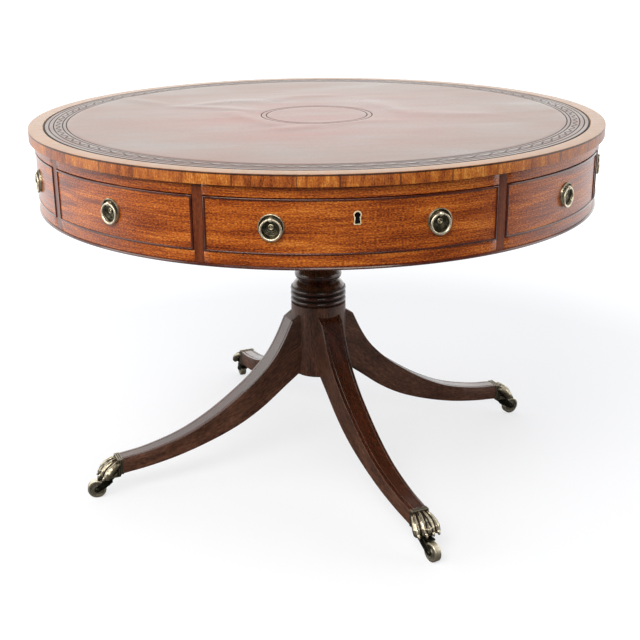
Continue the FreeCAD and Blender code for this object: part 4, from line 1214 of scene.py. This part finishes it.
def handle_plate():
    """A stamped plate: rolled rim, sunk dish with fine rings, and a round boss with a dot."""
    rim = PLATE_RADIUS - PLATE_RIM_WIDTH / 2
    rim_inside = PLATE_RADIUS - PLATE_RIM_WIDTH
    rim_base = PLATE_RIM_HEIGHT - PLATE_RIM_WIDTH / 2
    boss_inside, boss_outside = BOSS_RADIUS - BOSS_WIDTH / 2, BOSS_RADIUS + BOSS_WIDTH / 2
    points = outline((0, 0), (PLATE_RADIUS, 0), (PLATE_RADIUS, rim_base),
                     ((rim, PLATE_RIM_HEIGHT), (rim_inside, rim_base)),
                     (rim_inside - PLATE_DISH_SLOPE, PLATE_FLOOR))
    for ring in DISH_RINGS:
        points += [(ring + DISH_RING_HALF, PLATE_FLOOR), (ring, PLATE_FLOOR + DISH_RING_HEIGHT),
                   (ring - DISH_RING_HALF, PLATE_FLOOR)]
    points += outline((boss_outside, PLATE_FLOOR), ((BOSS_RADIUS, BOSS_HEIGHT), (boss_inside, PLATE_FLOOR)),
                      (DOT_RADIUS, PLATE_FLOOR), (DOT_RADIUS / 2, DOT_SHOULDER), (0, DOT_HEIGHT))
    bm = turning(points, SMALL_STEPS, closed=False)
    dish_edge = rim_inside - PLATE_DISH_SLOPE / 2
    for face in bm.faces:
        face.material_index = int(boss_outside < face.calc_center_median().xy.length < dish_edge)
    swing(bm, 90, "Y")
    return bm


def handle_post():
    """The post: a short stem that swells into a knob, with an eye through it for the ring."""
    knob = outline((0, PLATE_FLOOR), (POST_RADIUS, PLATE_FLOOR),
                   (POST_RADIUS * POST_NECK_SHARE, EYE_REACH - EYE_RADIUS),
                   ((EYE_RADIUS, EYE_REACH), (POST_RADIUS * KNOB_END_SHARE, EYE_REACH + KNOB_END)),
                   (0, EYE_REACH + EYE_RADIUS))
    bm = turning(knob, SMALL_STEPS // 2, closed=False)
    swing(bm, 90, "Y")
    bmesh.ops.recalc_face_normals(bm, faces=bm.faces)
    eye = bmesh.new()
    lying = Matrix.Translation((EYE_REACH, 0, 0)) @ Matrix.Rotation(math.radians(90), 4, "X")
    bmesh.ops.create_cone(eye, cap_ends=True, segments=LIMB_STEPS, radius1=RING_WIRE_RADIUS + EYE_GAP,
                          radius2=RING_WIRE_RADIUS + EYE_GAP, depth=4 * EYE_RADIUS, matrix=lying)
    resize(bm, MM)
    post = mesh_object("post", bm)
    pierce(post, eye)
    drilled = bmesh.new()
    drilled.from_mesh(post.data)
    discard(post)
    resize(drilled, 1 / MM)
    bmesh.ops.translate(drilled, vec=(0, 0, EYE_LIFT), verts=drilled.verts)
    return drilled


def handle_ring(wire):
    """The ring, a little thicker at its bottom, where it is held."""
    turns = [math.tau * step / WIRE_STEPS for step in range(WIRE_STEPS)]
    circle = [(RING_RADIUS + wire * math.cos(turn), wire * math.sin(turn)) for turn in turns]
    bm = turning(circle, SMALL_STEPS)
    swing(bm, 90, "Y")
    for vert in bm.verts:
        flat = Vector((0, vert.co.y, vert.co.z)).normalized() * RING_RADIUS
        low = max(0, -vert.co.z / RING_RADIUS)
        vert.co = flat + (vert.co - flat) * (1 + RING_SWELL * low)
    bmesh.ops.translate(bm, vec=(EYE_REACH, 0, EYE_LIFT - RING_RADIUS), verts=bm.verts)
    return bm


def make_handles(sizes):
    places = [("long_drawer", number, turn + side * HANDLE_ANGLE)
              for number, turn in enumerate(LONG_TURNS, start=1) for side in (-1, 1)]
    places += [("short_drawer", number, turn) for number, turn in enumerate(SHORT_TURNS, start=1)]
    for number, (drawer, drawer_number, angle) in enumerate(places, start=1):
        body = "%s_%d" % (drawer, drawer_number)
        fittings = "%s_fittings_%d" % (drawer, drawer_number)
        plate = handle_plate()
        join(plate, handle_post(), material=2)
        move(plate, on_front(angle))
        piece("handle_plate_%d" % number, plate, body,
              ["brass_dull", "brass_patina_grey", "brass_rubbed"], [fittings])
        ring = handle_ring(sizes.ring_wire / MM)
        move(ring, on_front(angle))
        piece("ring_pull_%d" % number, ring, "ring_handle_%d" % number, ["brass_rubbed"],
              ["ring_handle_%d" % number])


# Column

def make_column(sizes):
    torus_inside = NECK_RADIUS + TORUS_FILLET
    groove = DRUM_RADIUS - sizes.reed_depth / MM
    edge = COLUMN_TOP - COLUMN_TOP_EDGE
    reeds, height = [], REED_TOP
    for _ in range(REED_COUNT):
        middle, height = height - REED_PITCH / 2, height - REED_PITCH
        reeds.append(((DRUM_RADIUS + REED_PROUD, middle), (groove, height)))
    plain_top = height
    points = outline((0, COLUMN_TOP), (COLUMN_TOP_RADIUS, COLUMN_TOP), (COLUMN_TOP_RADIUS, edge),
                     (COLUMN_TOP_RADIUS - COLUMN_TOP_STEP, edge),
                     ((VASE_TOP_RADIUS + COVE_SINK, VASE_TOP_HEIGHT + COVE_SINK),
                      (VASE_TOP_RADIUS, VASE_TOP_HEIGHT)),
                     ((VASE_RADIUS, VASE_HEIGHT), (WAIST_RADIUS, WAIST_HEIGHT)),
                     (torus_inside, TORUS_HEIGHT + TORUS_HALF),
                     ((TORUS_RADIUS, TORUS_HEIGHT), (torus_inside, TORUS_HEIGHT - TORUS_HALF)),
                     (NECK_RADIUS, NECK_HEIGHT),
                     ((OVOLO_RADIUS, OVOLO_HEIGHT), (groove, REED_TOP)), *reeds,
                     (DRUM_RADIUS, plain_top - REED_PROUD),
                     (DRUM_RADIUS, COLUMN_BOTTOM + COLUMN_FOOT_ROUND),
                     (DRUM_RADIUS - COLUMN_FOOT_ROUND, COLUMN_BOTTOM), (0, COLUMN_BOTTOM))
    bm = turning(points, SMALL_STEPS * 2, closed=False)
    share = DRUM_RADIUS / FRIEZE_RADIUS
    lay_grain(bm, lambda face, co: (co.z, girth(face, co) * share))
    for face in bm.faces:
        middle = face.calc_center_median()
        # Faces in the grooves between the reeds take the black painted shade
        in_groove = plain_top < middle.z < REED_TOP and middle.xy.length < (groove + DRUM_RADIUS) / 2
        # Above the plain drum the column takes the dark finish, partly painted shade under the drum; the
        # plain drum takes the paler, dull one
        face.material_index = 2 if in_groove else 1 if middle.z < plain_top else 0
    piece("turned_column", bm, "base",
          ["mahogany_turned_dark", "mahogany_dull_sides", "polish_in_grooves"], ["column"])
    dress("spindle", "iron_forged")


# Legs, modelled along +X

def smooth_line(points, steps):
    """Points along a smooth curve through points."""
    line = []
    ends = [2 * points[0] - points[1], *points, 2 * points[-1] - points[-2]]
    for before, here, there, after in zip(ends, ends[1:], ends[2:], ends[3:]):
        for step in range(steps):
            t = step / steps
            line.append(0.5 * (2 * here + (there - before) * t
                               + (2 * before - 5 * here + 4 * there - after) * t * t
                               + (3 * here - before - 3 * there + after) * t ** 3))
    return line + [points[-1]]


def leg_section(low, high, half, arris):
    """The leg's outline at a station: flat sole and sides, and a top face with a groove near each side."""
    up = (high - low).normalized()
    groove_out = half - LEG_BORDER
    groove_in = groove_out - LEG_GROOVE_WIDTH
    slope = LEG_GROOVE_DEPTH / 2
    rounded = arris * ARRIS_ROUND_SHARE
    groove_floor = high - up * LEG_GROOVE_DEPTH
    right = [(half - arris, low), (half, low + up * arris), (half, high - up * arris),
             (half - rounded, high - up * rounded), (half - arris, high), (groove_out, high),
             (groove_out - slope, groove_floor), (groove_in + slope, groove_floor), (groove_in, high)]
    return [place + Vector((0, side * across, 0)) for side, row in ((1, right), (-1, right[::-1]))
            for across, place in row]


def leg_points(shares, ankle):
    rise = SHOULDER_HEIGHT - ankle
    return [Vector((across * ANKLE_RADIUS, 0, ankle + up * rise)) for across, up in shares]


def leg_mesh(arris):
    upper, lower = leg_points(LEG_UPPER_SHARES, ANKLE_TOP), leg_points(LEG_LOWER_SHARES, ANKLE_BOTTOM)
    highs, lows = smooth_line(upper, LEG_STEPS), smooth_line(lower, LEG_STEPS)
    slope = (SHOULDER_HEIGHT + COLUMN_SLOPE - upper[0].z) / upper[0].x
    highs.insert(0, Vector((LEG_ROOT, 0, upper[0].z + slope * (upper[0].x - LEG_ROOT))))
    lows.insert(0, Vector((LEG_ROOT, 0, lower[0].z)))
    taper = (LEG_WIDTH_TOP - LEG_WIDTH_ANKLE) / ANKLE_RADIUS
    loops = []
    for low, high in zip(lows, highs):
        half = (LEG_WIDTH_TOP - taper * (low.x + high.x) / 2) / 2
        loops.append(leg_section(low, high, half, arris))
    return skin(loops), lows, highs


def leg_grain(co, lows, highs):
    """Along the leg the grain follows its bend; across, it is measured over the top or down the side."""
    middles = [(low + high) / 2 for low, high in zip(lows, highs)]
    place = Vector((co.x, 0, co.z))
    best = min(range(len(middles) - 1), key=lambda number: (middles[number] - place).length)
    length = sum((middles[step + 1] - middles[step]).length for step in range(best))
    way = (middles[best + 1] - middles[best]).normalized()
    offset = place - middles[best]
    return length + offset.dot(way), co.y + offset.dot(Vector((-way.z, 0, way.x)))


def make_legs(sizes):
    for number, turn in enumerate(LEG_TURNS, start=1):
        bm, lows, highs = leg_mesh(sizes.leg_arris / MM)
        lay_grain(bm, lambda face, co: leg_grain(co, lows, highs))
        layer = bm.loops.layers.uv.verify()
        for face in bm.faces:
            # Top faces and soles take the dark finish, partly painted shade; the side faces take the paler,
            # dull one, partly painted light
            face.material_index = int(abs(face.normal.y) > math.sqrt(0.5))
            for corner in face.loops:
                corner[layer].uv.x += number    # each leg shows another stretch of the grain
        swing(bm, turn)
        piece("sabre_leg_%d" % number, bm, "base",
              ["mahogany_turned_dark", "mahogany_dull_sides"], ["leg_%d" % number], sharp=LEG_SHARP_ANGLE)


# Paws, modelled along +X

def limb(bm, points, radii):
    """A rounded limb that runs through points and swells to a radius at each."""
    own = bmesh.new()
    for point, radius in zip(points, radii):
        bmesh.ops.create_icosphere(own, subdivisions=2, radius=radius, matrix=Matrix.Translation(point))
    for start, end, first, last in zip(points, points[1:], radii, radii[1:]):
        start, end = Vector(start), Vector(end)
        way = (end - start).to_track_quat("Z", "Y").to_matrix().to_4x4()
        bmesh.ops.create_cone(own, cap_ends=True, segments=LIMB_STEPS, radius1=first, radius2=last,
                              depth=(end - start).length, matrix=Matrix.Translation((start + end) / 2) @ way)
    join(bm, own)


def brick(bm, x_range, y_half, z_range, bevel):
    """A soft-edged block, the same on both sides of the leg's middle plane."""
    made = bmesh.ops.create_cube(bm, size=1)["verts"]
    size = (x_range[1] - x_range[0], 2 * y_half, z_range[1] - z_range[0])
    bmesh.ops.scale(bm, vec=size, verts=made)
    bmesh.ops.translate(bm, vec=(sum(x_range) / 2, 0, sum(z_range) / 2), verts=made)
    edges = list({edge for vert in made for edge in vert.link_edges})
    soften(bm, edges, bevel)


def paw_parts():
    """The rough parts of a lion's paw, which overlap and are melted together afterwards."""
    bm = bmesh.new()
    low, high = ANKLE_BOTTOM - SLEEVE_WALL, ANKLE_TOP + SLEEVE_WALL
    half = LEG_WIDTH_ANKLE / 2 + SLEEVE_WALL
    back, front = ANKLE_RADIUS - SLEEVE_BACK, ANKLE_RADIUS + SLEEVE_FRONT
    brick(bm, (back, front), half - SLEEVE_GROOVE, (low + SLEEVE_GROOVE, high - SLEEVE_GROOVE), SLEEVE_WALL)
    for number in range(SLEEVE_REEDS):
        reed = back + (front - back - SLEEVE_REED) * number / (SLEEVE_REEDS - 1)
        brick(bm, (reed, reed + SLEEVE_REED), half, (low, high), SLEEVE_GROOVE)
    limb(bm, [(ANKLE_RADIUS + reach, 0, height) for reach, height, _ in PAW_BODY],
         [radius for *_, radius in PAW_BODY])
    brick(bm, [ANKLE_RADIUS + reach for reach in SOLE_REACH], SOLE_HALF, (PAW_BOTTOM, SOLE_TOP), SOLE_ROUND)
    for number in range(TOE_COUNT):
        side = number - (TOE_COUNT - 1) / 2
        outer = abs(side) - 0.5
        for rows in (TOE_LINE, TENDON_LINE, CLAW_LINE):
            points = [(ANKLE_RADIUS + reach - TOE_STEP_BACK * outer, side * TOE_PITCH * spread_share,
                       height - TOE_STEP_DOWN * outer) for reach, height, spread_share, _ in rows]
            limb(bm, points, [radius for *_, radius in rows])
    return bm


def melted(name, bm, voxel):
    """Remeshes overlapping parts into one smooth skin; returns it as a bmesh in millimetres."""
    rough = mesh_object(name, bm)
    remesh = rough.modifiers.new("melt", "REMESH")
    remesh.mode = "VOXEL"
    remesh.voxel_size = voxel
    relax = rough.modifiers.new("relax", "SMOOTH")
    relax.factor = MELT_RELAX_SHARE
    relax.iterations = MELT_RELAX_STEPS
    mesh = evaluated_mesh(rough)
    made = bmesh.new()
    made.from_mesh(mesh)
    discard(rough)
    bpy.data.meshes.remove(mesh)
    return made


def note_wear(bm, reach):
    """Marks each point from 0 in a hollow to 1 on a ridge, by how far it stands out from its neighbours."""
    layer = bm.verts.layers.float.new("wear")
    bm.normal_update()
    raised = {}
    for vert in bm.verts:
        middle = sum((edge.other_vert(vert).co for edge in vert.link_edges), Vector()) / len(vert.link_edges)
        raised[vert] = (vert.co - middle).dot(vert.normal)
    for _ in range(WEAR_SMOOTHING):
        raised = {vert: (value + sum(raised[edge.other_vert(vert)] for edge in vert.link_edges))
                  / (1 + len(vert.link_edges)) for vert, value in raised.items()}
    for vert, value in raised.items():
        on_sleeve = vert.co.x < ANKLE_RADIUS + SLEEVE_FRONT
        level = SLEEVE_DULL + min(0, value / reach) if on_sleeve else WEAR_BASE + value / reach
        vert[layer] = min(1, max(0, level))


def make_paws():
    whole = bmesh.new()
    paw = melted("paw", paw_parts(), PAW_VOXEL)
    note_wear(paw, WEAR_REACH)
    for turn in LEG_TURNS:
        join(whole, paw.copy(), about_axis(turn))
    paw.free()
    piece("lion_paws", whole, "base", ["brass_cast_tarnished"], ["paw_caps"],
          sharp=PAW_SHARP_ANGLE)


# Castors, modelled with the swivel axis on the Z axis and the wheel along +X

def along_axle(bm):
    """Lays a Z turning along the wheel's axle."""
    swing(bm, 90, "X")
    bmesh.ops.translate(bm, vec=(WHEEL_TRAIL, 0, WHEEL_RADIUS), verts=bm.verts)
    return bm


def wheel_mesh():
    half, web = WHEEL_WIDTH / 2, WHEEL_WEB / 2
    rim, hub = WHEEL_RADIUS - WHEEL_RIM, WHEEL_HUB_RADIUS
    edge, inset = WHEEL_RADIUS - WHEEL_ROUND, corner_inset(WHEEL_ROUND)
    points = outline((AXLE_RADIUS, -half), (hub, -half), (hub + WHEEL_SLOPE, -web),
                     (rim - WHEEL_SLOPE, -web), (rim, -half), (edge, -half),
                     ((WHEEL_RADIUS - inset, inset - half), (WHEEL_RADIUS, WHEEL_ROUND - half)),
                     (WHEEL_RADIUS, half - WHEEL_ROUND),
                     ((WHEEL_RADIUS - inset, half - inset), (edge, half)),
                     (rim, half), (rim - WHEEL_SLOPE, web), (hub + WHEEL_SLOPE, web), (hub, half),
                     (AXLE_RADIUS, half))
    bm = turning(points, SMALL_STEPS)
    for face in bm.faces:
        face.material_index = int(hub <= face.calc_center_median().xy.length <= rim)
    return along_axle(bm)


def fork_mesh():
    """Plate, yoke and two arms that taper to the axle, which has a riveted head at each end."""
    top = PAW_BOTTOM - FORK_GAP
    inside = WHEEL_WIDTH / 2 + WHEEL_SIDE_GAP
    outside = inside + FORK_ARM
    plate_inside, plate_low = FORK_PLATE_RADIUS - FORK_PLATE_BEVEL, top - FORK_PLATE
    plate = outline((0, top), (plate_inside, top), (FORK_PLATE_RADIUS, top - FORK_PLATE_BEVEL),
                    (FORK_PLATE_RADIUS, plate_low + FORK_PLATE_BEVEL), (plate_inside, plate_low),
                    (0, plate_low))
    bm = turning(plate, SMALL_STEPS, closed=False)
    yoke = bmesh.new()
    brick(yoke, (-FORK_BACK, FORK_YOKE_FRONT), outside, (top - FORK_BRIDGE_HEIGHT, top), FORK_BEVEL)
    brick(yoke, (0, FORK_HOOD_FRONT), inside, (top - FORK_HOOD, top), FORK_BEVEL)
    brick(yoke, (FORK_WEB_BACK, FORK_WEB_FRONT), inside, (FORK_WEB_BOTTOM, top - FORK_HOOD), FORK_BEVEL)
    join(bm, yoke)
    chord = FORK_EYE_RADIUS * math.sqrt(0.5)
    side = outline((-FORK_BACK, top), (FORK_BRIDGE_FRONT, top),
                   (FORK_FRONT_BEND, (WHEEL_TRAIL + chord, WHEEL_RADIUS + chord)),
                   ((WHEEL_TRAIL + FORK_EYE_RADIUS, WHEEL_RADIUS),
                    (WHEEL_TRAIL - chord, WHEEL_RADIUS - chord)),
                   (FORK_BACK_BEND, (-FORK_BACK, top - FORK_BRIDGE_HEIGHT)))
    for low in (inside, -outside):
        arm = slab(side, low, low + FORK_ARM)
        soften(arm, hard_edges(arm), FORK_BEVEL)
        # The slab's thickness lies along X, and the arm's along Y
        move(arm, Matrix(((0, 1, 0, 0), (1, 0, 0, 0), (0, 0, 1, 0), (0, 0, 0, 1))))
        join(bm, arm)
    head = outside + AXLE_HEAD
    head_inside, shank = AXLE_HEAD_RADIUS - AXLE_HEAD_SLOPE, AXLE_RADIUS - AXLE_GAP
    pin = outline((0, -head), (head_inside, -head), (AXLE_HEAD_RADIUS, -outside), (shank, -outside),
                  (shank, outside), (AXLE_HEAD_RADIUS, outside), (head_inside, head), (0, head))
    join(bm, along_axle(turning(pin, SMALL_STEPS // 2, closed=False)))
    return bm


def make_castors():
    for number, (turn, rest) in enumerate(zip(LEG_TURNS, CASTOR_REST_TURNS), start=1):
        place = about_axis(turn) @ Matrix.Translation((CASTOR_RADIUS, 0, 0)) @ about_axis(rest)
        for name, bm, finishes in (("castor_fork", fork_mesh(), ["brass_black_patina"]),
                                   ("castor_wheel", wheel_mesh(), ["brass_rubbed", "brass_grey"])):
            move(bm, place)
            node_name = "%s_%d" % (name, number)
            piece("brass_" + node_name, bm, node_name, finishes, [node_name])


# Stage

FLOOR_SIZE = 60000.0
FLOOR_GLOW = 0.6
# Distances from the table's axis: the paper starts to show, the shadow starts to fade, and it has gone
UNDER_TABLE = 650.0
SHADOW_REACH = 1100.0
SHADOW_END = 2600.0
PAPER_FRONT = 1100.0        # the paper ends this far in front of the table's axis
PAPER_FULL = 0.0
PAPER_SEEN = "#a4a8af"      # of the paper as the camera sees it, before its glow is added
PAPER_SHADE = "#f2f2f2"
STUDIO_FLOOR = "#565452"
LAMP_SHADE = "#fff8ef"
# Brightness of the studio round the table, from behind it to the camera's side
STUDIO_GLOW = ((0.25, 0.9), (0.52, 0.75), (0.74, 0.06))
# Soft boxes: name, width, height, place, point that it faces, and how bright its face is
SOFT_BOXES = (
    ("wall_behind", 16000, 2600, (-600, 5200, 1900), (0, 0, 700), 0.76),
    ("window_left", 2400, 2000, (-3600, -900, 1700), (0, 0, 500), 3.0),
    ("fill_right", 2000, 1800, (3700, -700, 1500), (0, 0, 500), 1.8),
    ("key_above", 2600, 2000, (-1500, -2800, 3200), (0, 0, 500), 7.5),
    ("front_fill", 2600, 1200, (500, -4600, 2300), (0, 0, 500), 4.5),
)


def seen_white(add, background):
    """1 for camera rays, and for glossy and transmission rays in the background that the camera sees."""
    rays = add("LightPath", out=None)
    mirrored = add("Math", (rays["Is Glossy Ray"], rays["Is Transmission Ray"]), operation="MAXIMUM")
    mirrored = add("Math", (mirrored, background), operation="MULTIPLY")
    return add("Math", (rays["Is Camera Ray"], mirrored), operation="MAXIMUM")


def make_floor():
    """White paper under, beside and behind the table, and a dark studio floor in front of it.

    The camera sees all of it near white, with the table's shadow, and clean white further out. The part that
    is dark lies nearer than the lower edge of the camera's view.
    """
    bm = bmesh.new()
    bmesh.ops.create_grid(bm, x_segments=1, y_segments=1, size=FLOOR_SIZE * MM)
    floor = mesh_object("floor", bm)
    material, add = material_tree("matt_paper_sweep")
    place = add("TexCoord", out="Object")
    radius = add("VectorMath", (place,), out=1, operation="LENGTH")
    ahead = add("VectorMath", (place, camera_side()), out=1, operation="DOT_PRODUCT")
    level = add("MapRange", {"Value": radius, "From Min": SHADOW_REACH * MM, "From Max": SHADOW_END * MM,
                             "To Min": FLOOR_GLOW, "To Max": 1.0})
    beside = add("MapRange", {"Value": ahead, "From Min": PAPER_FRONT * MM, "From Max": PAPER_FULL * MM})
    clear = add("MapRange", {"Value": radius, "From Min": UNDER_TABLE * MM, "From Max": SHADOW_REACH * MM})
    paper = add("Math", (beside, clear), operation="MULTIPLY")
    seen = seen_white(add, paper)
    paper_seen = add("BsdfDiffuse", {"Color": linear(PAPER_SEEN)})
    glow = add("Emission", {"Color": (1, 1, 1, 1), "Strength": level})
    lit = add("AddShader", (paper_seen, glow))
    unseen = add("BsdfDiffuse", {"Color": add("MixRGB", (paper, linear(STUDIO_FLOOR), linear(PAPER_SHADE)))})
    shown = add("MixShader", (seen, unseen, lit))
    add("OutputMaterial", (shown,))
    floor.data.materials.append(material)


def camera_side():
    """The level direction from the table's axis towards the camera."""
    return Vector((0, -1, 0)) @ Matrix.Rotation(math.radians(-CAMERA_TURN), 3, "Z")


def make_lights():
    """Soft boxes round a pale studio that is dark on the camera's side; the camera itself sees white."""
    world = bpy.data.worlds.new("studio")
    bpy.context.scene.world = world
    world.use_nodes = True
    world.node_tree.nodes.clear()
    add = partial(node, world.node_tree)
    way = add("TexCoord", out="Generated")
    facing = add("VectorMath", (way, camera_side()), out=1, operation="DOT_PRODUCT")
    facing = add("Math", (facing, 0.5, 0.5), operation="MULTIPLY_ADD")
    around = add("ValToRGB", (facing,), stops=STUDIO_GLOW)
    behind = add("MapRange", {"Value": facing, "From Min": 0.5, "From Max": 0.4})
    seen = seen_white(add, behind)
    glow = add("Background", (add("MixRGB", (seen, around, (1, 1, 1, 1))), 1.0))
    add("OutputWorld", (glow,))
    for name, width, height, place, target, level in SOFT_BOXES:
        lamp = bpy.data.lights.new(name, "AREA")
        lamp.shape = "RECTANGLE"
        lamp.size, lamp.size_y = width * MM, height * MM
        lamp.color = linear(LAMP_SHADE)[:3]
        lamp.energy = level * math.pi * lamp.size * lamp.size_y
        made = in_scene(name, lamp)
        made.location = Vector(place) * MM
        made.rotation_euler = (Vector(target) - Vector(place)).to_track_quat("-Z", "Y").to_euler()
        made.visible_camera = False


def make_camera():
    """The photograph's camera, from a fit to the top's outline, the drum's foot and the castors."""
    yaw, pitch, roll = (math.radians(angle) for angle in (CAMERA_YAW, CAMERA_PITCH, CAMERA_ROLL))
    ahead = Vector((math.sin(yaw) * math.cos(pitch), math.cos(yaw) * math.cos(pitch), -math.sin(pitch)))
    right = Vector((math.cos(yaw), -math.sin(yaw), 0))
    up = right.cross(ahead)
    level = Matrix((right, up, -ahead)).transposed()
    lens = bpy.data.cameras.new("camera")
    lens.sensor_width = SENSOR
    lens.lens = FOCAL_PIXELS / PHOTO_PIXELS * SENSOR
    lens.clip_start, lens.clip_end = LENS_NEAR * MM, 2 * FLOOR_SIZE * MM
    camera = in_scene("camera", lens)
    place = Matrix.Translation(Vector((0, -CAMERA_DISTANCE, CAMERA_HEIGHT)) * MM)
    camera.matrix_world = about_axis(CAMERA_TURN) @ place @ (level @ Matrix.Rotation(roll, 3, "Z")).to_4x4()
    bpy.context.scene.camera = camera
    bpy.context.scene.view_settings.view_transform = "Standard"


# What a user may change

def length_property(name, description, size, least, most):
    return FloatProperty(name=name, description=description, default=size * MM, min=least * MM,
                         max=most * MM, subtype="DISTANCE", unit="LENGTH", precision=4)


def colour_property(name, description, family):
    return FloatVectorProperty(name=name, description=description, default=linear(MAIN_COLOURS[family])[:3],
                               min=0, max=1, size=3, subtype="COLOR")


class DrumTableSizes(bpy.types.PropertyGroup):
    """Sizes of the dressed table that the frame leaves free"""
    block_length: length_property("Crossbanding block", "Length of a block of the crossbanding",
                                  BLOCK_LENGTH, 30, 300)
    edge_round: length_property("Top arris", "Radius of the rounded upper edge of the top",
                                EDGE_ROUND, 0.2, 3)
    crease_height: length_property("Leather creases", "Height of the soft creases in the leather",
                                   CREASE_HEIGHT, 0, 0.8)
    bead_proud: length_property("Cock bead", "How far the cock bead stands out from the drawer front",
                                BEAD_PROUD, 0.5, 3)
    ring_wire: length_property("Ring wire", "Radius of the wire of a ring handle", RING_WIRE_RADIUS, 1, 2.2)
    reed_depth: length_property("Reed depth", "Depth of the grooves between the column's reeds",
                                REED_DEPTH, 0.5, 4)
    leg_arris: length_property("Leg arris", "Width of the worn edges along the legs", LEG_ARRIS, 0.3, 3)


class DrumTableColours(bpy.types.PropertyGroup):
    """Main colours of the table's finishes"""
    veneer: colour_property("Veneer", "Main colour of the polished veneer", "veneer")
    crossbanding: colour_property("Crossbanding", "Main colour of the banding round the top", "crossbanding")
    base_wood: colour_property("Base", "Main colour of the column and legs", "base_wood")
    leather: colour_property("Leather", "Main colour of the leather", "leather")
    brass: colour_property("Brass", "Colour of brass where it is rubbed bright", "brass")


class DRUMTABLE_OT_stage(bpy.types.Operator):
    """Makes the floor, the lights and the camera"""
    bl_idname = "drum_table.stage"
    bl_label = "Stage"

    def execute(self, context):
        make_floor()
        make_lights()
        make_camera()
        return {"FINISHED"}


class DRUMTABLE_OT_top(bpy.types.Operator):
    """Makes the crossbanding and the tooled leather of the top"""
    bl_idname = "drum_table.top"
    bl_label = "Top"

    def execute(self, context):
        make_top(context.scene.drum_table_sizes)
        return {"FINISHED"}


class DRUMTABLE_OT_drum(bpy.types.Operator):
    """Makes the rails, the stiles and the foot bead of the drum"""
    bl_idname = "drum_table.drum"
    bl_label = "Drum"

    def execute(self, context):
        make_drum()
        return {"FINISHED"}


class DRUMTABLE_OT_long_drawers(bpy.types.Operator):
    """Makes the four long drawers with their escutcheons and locks"""
    bl_idname = "drum_table.long_drawers"
    bl_label = "Long drawers"

    def execute(self, context):
        make_long_drawers(context.scene.drum_table_sizes)
        return {"FINISHED"}


class DRUMTABLE_OT_short_drawers(bpy.types.Operator):
    """Makes the four wedge-shaped short drawers"""
    bl_idname = "drum_table.short_drawers"
    bl_label = "Short drawers"

    def execute(self, context):
        make_short_drawers(context.scene.drum_table_sizes)
        return {"FINISHED"}


class DRUMTABLE_OT_handles(bpy.types.Operator):
    """Makes the twelve plates and their ring handles"""
    bl_idname = "drum_table.handles"
    bl_label = "Ring handles"

    def execute(self, context):
        make_handles(context.scene.drum_table_sizes)
        return {"FINISHED"}


class DRUMTABLE_OT_column(bpy.types.Operator):
    """Makes the turned and reeded column"""
    bl_idname = "drum_table.column"
    bl_label = "Column"

    def execute(self, context):
        make_column(context.scene.drum_table_sizes)
        return {"FINISHED"}


class DRUMTABLE_OT_legs(bpy.types.Operator):
    """Makes the four sabre legs"""
    bl_idname = "drum_table.legs"
    bl_label = "Sabre legs"

    def execute(self, context):
        make_legs(context.scene.drum_table_sizes)
        return {"FINISHED"}


class DRUMTABLE_OT_paws(bpy.types.Operator):
    """Makes the four lion's-paw caps"""
    bl_idname = "drum_table.paws"
    bl_label = "Paw caps"

    def execute(self, context):
        make_paws()
        return {"FINISHED"}


class DRUMTABLE_OT_castors(bpy.types.Operator):
    """Makes the four castors"""
    bl_idname = "drum_table.castors"
    bl_label = "Castors"

    def execute(self, context):
        make_castors()
        return {"FINISHED"}


OPERATORS = (DRUMTABLE_OT_stage, DRUMTABLE_OT_top, DRUMTABLE_OT_drum, DRUMTABLE_OT_long_drawers,
             DRUMTABLE_OT_short_drawers, DRUMTABLE_OT_handles, DRUMTABLE_OT_column, DRUMTABLE_OT_legs,
             DRUMTABLE_OT_paws, DRUMTABLE_OT_castors)


class DRUMTABLE_PT_sidebar(bpy.types.Panel):
    """The table's sizes, its colours and the steps that make it"""
    bl_idname = "DRUMTABLE_PT_sidebar"
    bl_label = "Drum table"
    bl_space_type = "VIEW_3D"
    bl_region_type = "UI"
    bl_category = "Drum table"

    def draw(self, context):
        for group in (context.scene.drum_table_sizes, context.scene.drum_table_colours):
            column = self.layout.column(align=True)
            for name in group.__annotations__:
                column.prop(group, name)
        column = self.layout.column(align=True)
        for operator in OPERATORS:
            column.operator(operator.bl_idname)


CLASSES = (DrumTableSizes, DrumTableColours, *OPERATORS, DRUMTABLE_PT_sidebar)


def register():
    for kind in CLASSES:
        bpy.utils.register_class(kind)
    bpy.types.Scene.drum_table_sizes = PointerProperty(type=DrumTableSizes)
    bpy.types.Scene.drum_table_colours = PointerProperty(type=DrumTableColours)


def unregister():
    del bpy.types.Scene.drum_table_sizes
    del bpy.types.Scene.drum_table_colours
    for kind in reversed(CLASSES):
        bpy.utils.unregister_class(kind)


def main():
    register()
    bpy.ops.drum_table.stage()
    bpy.ops.drum_table.top()
    bpy.ops.drum_table.drum()
    bpy.ops.drum_table.long_drawers()
    bpy.ops.drum_table.short_drawers()
    bpy.ops.drum_table.handles()
    bpy.ops.drum_table.column()
    bpy.ops.drum_table.legs()
    bpy.ops.drum_table.paws()
    bpy.ops.drum_table.castors()
    bpy.context.view_layer.update()


if __name__ == "__main__":
    main()
